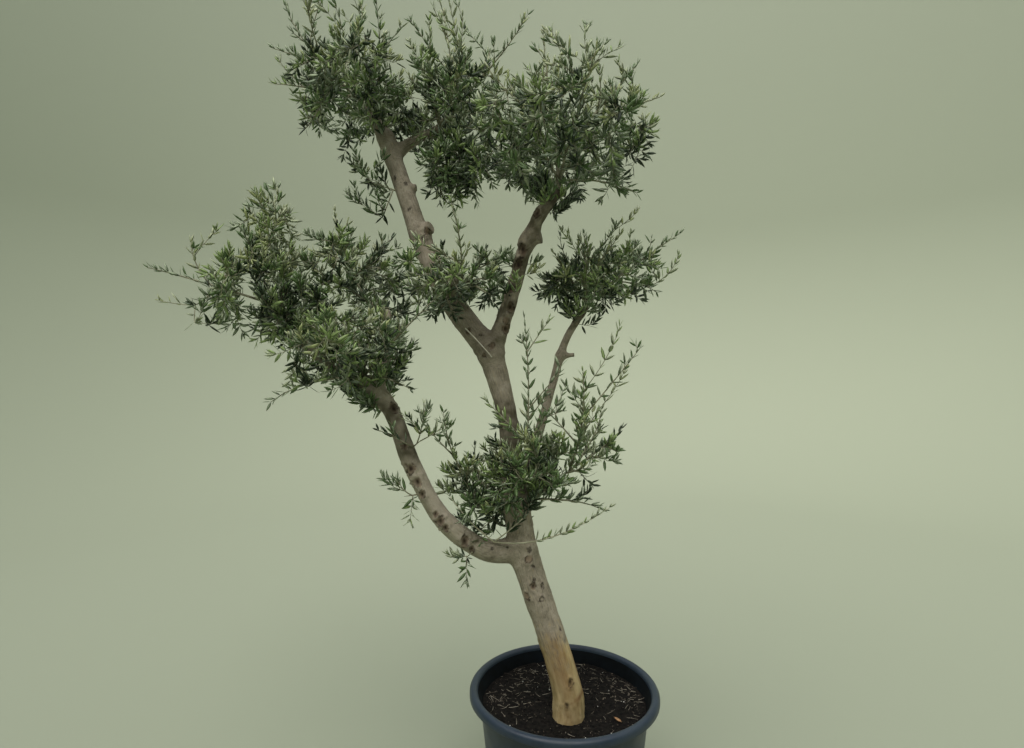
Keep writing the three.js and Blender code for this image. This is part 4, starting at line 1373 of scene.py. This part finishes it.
def leaf_shape():
    """One leaf, one long and one wide: a point at each end and two stations between them, each
    with two edges and a midrib that stands up between them. The underside is flat."""
    station, half = np.array(LEAF_STATIONS).T
    zero = np.zeros(len(station))
    left = np.stack([station, half, zero], axis=-1)
    rib = np.stack([station, zero, zero + 1], axis=-1)
    rows = np.stack([left, rib, left * [1, -1, 1]], axis=1).reshape(-1, 3)
    points = np.concatenate([[[0, 0, 0]], rows, [[1, 0, 0]]])
    tip = len(points) - 1
    upper = [(0, 2, 1), (0, 3, 2), (tip, tip - 3, tip - 2), (tip, tip - 2, tip - 1)]
    lower = [(0, 1, 3), (tip, tip - 1, tip - 3)]
    for row in range(1, tip - 3, 3):
        upper += [(row, row + 1, row + 4), (row, row + 4, row + 3)]
        upper += [(row + 1, row + 2, row + 5), (row + 1, row + 5, row + 4)]
        lower += [(row + 2, row, row + 3), (row + 2, row + 3, row + 5)]
    return points, np.array(upper + lower), len(upper)


def leaves_on(curves, tints, random, size, first, spacing):
    """Leaves in pairs along curves, each pair a quarter turn from the last, and a pair at the
    tip: base, direction, which way the upper face looks, length, width and tint. They stand out
    near the foot, and point along the twig and are small near its tip. They turn up to the light,
    less so on an upright twig, and on one that falls they are a little larger."""
    curve, number, share = slots_on(curves, spacing * size, first, 0.97)
    pairs = np.repeat(np.arange(len(curve)), 2)
    tips = np.repeat(np.arange(len(curves)), 2)
    share_all = np.concatenate([share[pairs], np.full(len(tips), 1.0)])
    curve_all = np.concatenate([curve[pairs], tips])
    quarter = number[pairs] * 0.25 + np.tile([0.0, 0.5], len(curve))
    turn = np.concatenate([quarter, np.tile([0.1, 0.6], len(curves))]) * TURN
    turn += random.uniform(0, TURN, len(curves))[curve_all] + random.normal(size=len(turn)) * 0.25
    base, way = (v[:, 0] for v in on_curves(curves[curve_all], share_all[:, None]))
    out = ways_out(way, turn)
    stands = STANCE["out"] - STANCE["closes"] * share_all
    angle = np.radians(stands + STANCE["varies"] * random.normal(size=len(turn)))[:, None]
    falls = way[:, 2] < FALLS
    lift = np.where(falls, STANCE["hanging"], STANCE["lift"] - STANCE["less_upright"] * way[:, 2])
    lift = lift[:, None] * [0, 0, 1]
    direction = unit(way * np.cos(angle) + out * np.sin(angle) + lift)
    face = unit(way - direction * np.sum(way * direction, axis=1, keepdims=True) + 0.001)
    roll = STANCE["roll"] * random.normal(size=(len(turn), 1))
    face = unit(face + roll * np.cross(direction, face))
    size = size * np.where(falls, LEAF["hanging"], 1) * (1.05 - LEAF["less_at_tip"] * share_all**3)
    size *= random.uniform(*LEAF["varies"], len(turn))
    return base, direction, face, LEAF["length"] * size, LEAF["width"] * size**0.7, tints[curve_all]


def place_leaves(base, direction, face, length, width, random):
    """Every leaf's points: base + along x length x direction + across x width x side + up x face,
    with a bow that takes the tip back by a share of the length squared along it."""
    shape, triangles, upper = leaf_shape()
    side = np.cross(face, direction)
    bow = random.normal(size=len(base)) * LEAF["bow_varies"] + LEAF["bow"]
    lift = LEAF["rib"] * shape[:, 2] - (bow * length)[:, None] * shape[:, 0] ** 2
    points = base[:, None] + direction[:, None] * (length[:, None] * shape[:, 0])[..., None]
    points += side[:, None] * (width[:, None] * shape[:, 1])[..., None] + face[:, None] * lift[..., None]
    faces = (triangles + len(shape) * np.arange(len(base))[:, None, None]).reshape(-1, 3)
    return points.reshape(-1, 3), faces, np.tile(np.arange(len(triangles)) >= upper, len(base))


def leaf_skin(name, colour, gloss):
    """One side of an olive leaf, leathery and faintly mottled. The upper one has a low waxy shine,
    and the underside is silvery and matt."""
    material, tree, shader = new_material(name, Roughness=gloss, Specular_IOR_Level=0.45)
    place = add(tree, "ShaderNodeTexCoord").outputs["Object"]
    mottle = add(tree, "ShaderNodeTexNoise", {"Vector": place, "Scale": per_mm(23), "Detail": 2.0})
    value = add(tree, "ShaderNodeMapRange", {0: mottle.outputs["Fac"], 1: 0.3, 2: 0.7, 3: 0.78, 4: 1.22})
    tint = add(tree, "ShaderNodeHueSaturation", {"Value": value.outputs[0], "Color": linear(colour)})
    tree.links.new(tint.outputs[0], shader.inputs["Base Color"])
    return material


def twig_bark():
    """The bark of this year's and last year's twigs: pale grey-green, smooth and matt."""
    return dry_stuff("twig_bark", "#77755f", "#a6a48d", 30)


LEAF_SKINS = []
for tint, (upper, under, _) in TINTS.items():
    LEAF_SKINS.append(leaf_skin(f"leaf_{tint}_upper", upper, 0.42))
    LEAF_SKINS.append(leaf_skin(f"leaf_{tint}_underside", under, 0.75))
TWIG_BARK = twig_bark()


def spray_tints(curves, random, high=0):
    """A tint for each spray by chance, with more of the pale fresh ones where high is more than 0
    and more of the dark old ones where it is less: partly younger leaves up top, partly painted
    light on the tops of the pads and painted shade under them.
    """
    chance = random.uniform(0, 1, len(curves)) + FRESHER_AND_LIT * high
    return np.searchsorted(np.cumsum([share for _, _, share in TINTS.values()])[:-1], chance)


def tubes_of(curves, feet, tip, sides, steps):
    """Round twigs along curves, from a radius at the foot to one at the tip."""
    share = np.linspace(0, 1, steps)
    centres, _ = on_curves(curves, np.tile(share, (len(curves), 1)))
    return tubes(centres, np.outer(feet, 1 - share) + tip * share, sides)


def make_sprays(name, wooden, sprays, random, *nodes, bark=TWIG_BARK):
    """Makes one piece of twigs and one of leaves. A leaf that would meet a limb, or reach out of
    the whole plant's box by more than a little, is left out."""
    base, direction, face, length, width, tint = (np.concatenate(v) for v in zip(*sprays))
    tips = base + direction * length[:, None]
    low, high = np.array(cad_box) / MM
    kept = clear_of_wood(tips, 1) & clear_of_wood((base + tips) / 2, 1)
    kept &= ((tips > low - BOX_ROOM) & (tips < high + BOX_ROOM)).all(axis=1)
    leaves = [v[kept] for v in (base, direction, face, length, width)]
    points, faces, under = place_leaves(*leaves, random)
    slots = np.repeat(tint[kept] * 2, len(under) // kept.sum()) + under
    dress(new_piece(f"{name}_twigs", *joined(wooden), [bark]), "bark", *nodes)
    dress(new_piece(f"{name}_leaves", points, [faces], LEAF_SKINS, slots), "foliage", *nodes)


def grow_mass(name, mass):
    """One mass of the crown, from its stem to its leaves. Its higher sprays are fresher and paler,
    partly as painted light on the tops of the pads.
    """
    random = np.random.default_rng(zlib.crc32(name.encode()))
    shoots, feet, whip = grow_shoots(mass, random)
    side_twigs = [grow_twigs(mass, shoots[~whip], SIDE_TWIGS, random)] if mass["shoots"] else []
    whip_twigs = grow_twigs(mass, shoots[whip], WHIP_TWIGS, random)
    twigs = np.concatenate([*side_twigs, whip_twigs, grow_tufts(mass, random)])
    wooden = [
        tubes_of(shoots[:1], feet[:1], STEM["tip"], STEM["sides"], SHOOT["steps"]),
        tubes_of(shoots[1:], feet[1:], SHOOT["tip"], SHOOT["sides"], SHOOT["steps"]),
        tubes_of(twigs, np.full(len(twigs), TWIG["foot"]), TWIG["tip"], TWIG["sides"], TWIG["steps"]),
    ]
    middle, radii = np.array(mass["pads"][0], float)
    sprays = []
    for kind, curves in (("whip", shoots[whip]), ("shoot", shoots[1:][~whip[1:]]), ("twig", twigs)):
        if len(curves):
            # Painted light and shade: a spray high in its pad gets a paler tint, one low down a darker
            # one
            high = np.clip((curves[:, 2, 2] - middle[2]) / radii[2], -1, 1.5)
            tints = spray_tints(curves, random, high)
            sprays.append(leaves_on(curves, tints, random, mass["leaf"], *PAIRS[kind]))
    make_sprays(name, wooden, sprays, random, name)


for name, mass in MASSES.items():
    grow_mass(name, mass)

# The crossing shoots
# Three thin pale shoots sprout from the low bough, close to the trunk. The longest crosses in
# front of the trunk and has leaves on its outer half only.
SPROUT = (-220, -82, 920)
CROSSING = [((-60, -130, 905), (128, -112, 1031)), ((-290, -112, 975), (-352, -104, 1062)),
            ((-178, -122, 958), (-122, -124, 1010))]  # bend and end of each
CROSSING_SHOOT = {"foot": 2.6, "tip": 1.1, "sides": 6, "steps": 12}
CROSSING_LEAVES = (0.9, 0.36, 21)  # size, first share of the way, spacing

chance = np.random.default_rng(23)
crossing = np.array([[SPROUT, bend, end] for bend, end in CROSSING], float)
wooden = tubes_of(crossing, np.full(len(crossing), CROSSING_SHOOT["foot"]), CROSSING_SHOOT["tip"],
                  CROSSING_SHOOT["sides"], CROSSING_SHOOT["steps"])
spray = leaves_on(crossing, spray_tints(crossing, chance), chance, *CROSSING_LEAVES)
pale_shoot = dry_stuff("pale_shoot_bark", "#aeab92", "#cdcab2", 30)
make_sprays("crossing_shoots", [wooden], [spray], chance, bark=pale_shoot)

# The fallen leaf
# One dead leaf, dried to orange-brown and curled, lies on the soil in front of the trunk.
FALLEN = {"place": (164, -126), "above_soil": 3, "towards": (-0.75, 0.62, 0.25), "length": 30,
          "width": 12}

lying = np.array([[*FALLEN["place"], SOIL["top"] + FALLEN["above_soil"]]], float)
towards = unit(np.array([FALLEN["towards"]]))
up = unit(np.array([[0.2, -0.3, 1]]) - towards * np.sum(towards * [0.2, -0.3, 1]))
one = np.ones(1)
dead_leaf = dry_stuff("dead_leaf", "#7c3f1d", "#c39c74", 8)
points, faces, _ = place_leaves(lying, towards, up, FALLEN["length"] * one, FALLEN["width"] * one, chance)
dress(new_piece("fallen_leaf", points, [faces], [dead_leaf]), "foliage")

# The dead twig
# A bleached dead twig has dropped into the upper crotch and lies down the front of the bark.
DEAD_TWIG = {"path": [(-312, -30, 1577), (-268, -51, 1534), (-227, -57, 1485)], "foot": 2.4, "tip": 1.4}

dead = np.array([DEAD_TWIG["path"]], float)
points, faces = tubes_of(dead, np.array([DEAD_TWIG["foot"]]), DEAD_TWIG["tip"], 6, 8)
bleached_twig = dry_stuff("bleached_twig", "#c2bdad", "#dedbce", 20)
dress(new_piece("dead_twig", points, faces, [bleached_twig]), "bark")
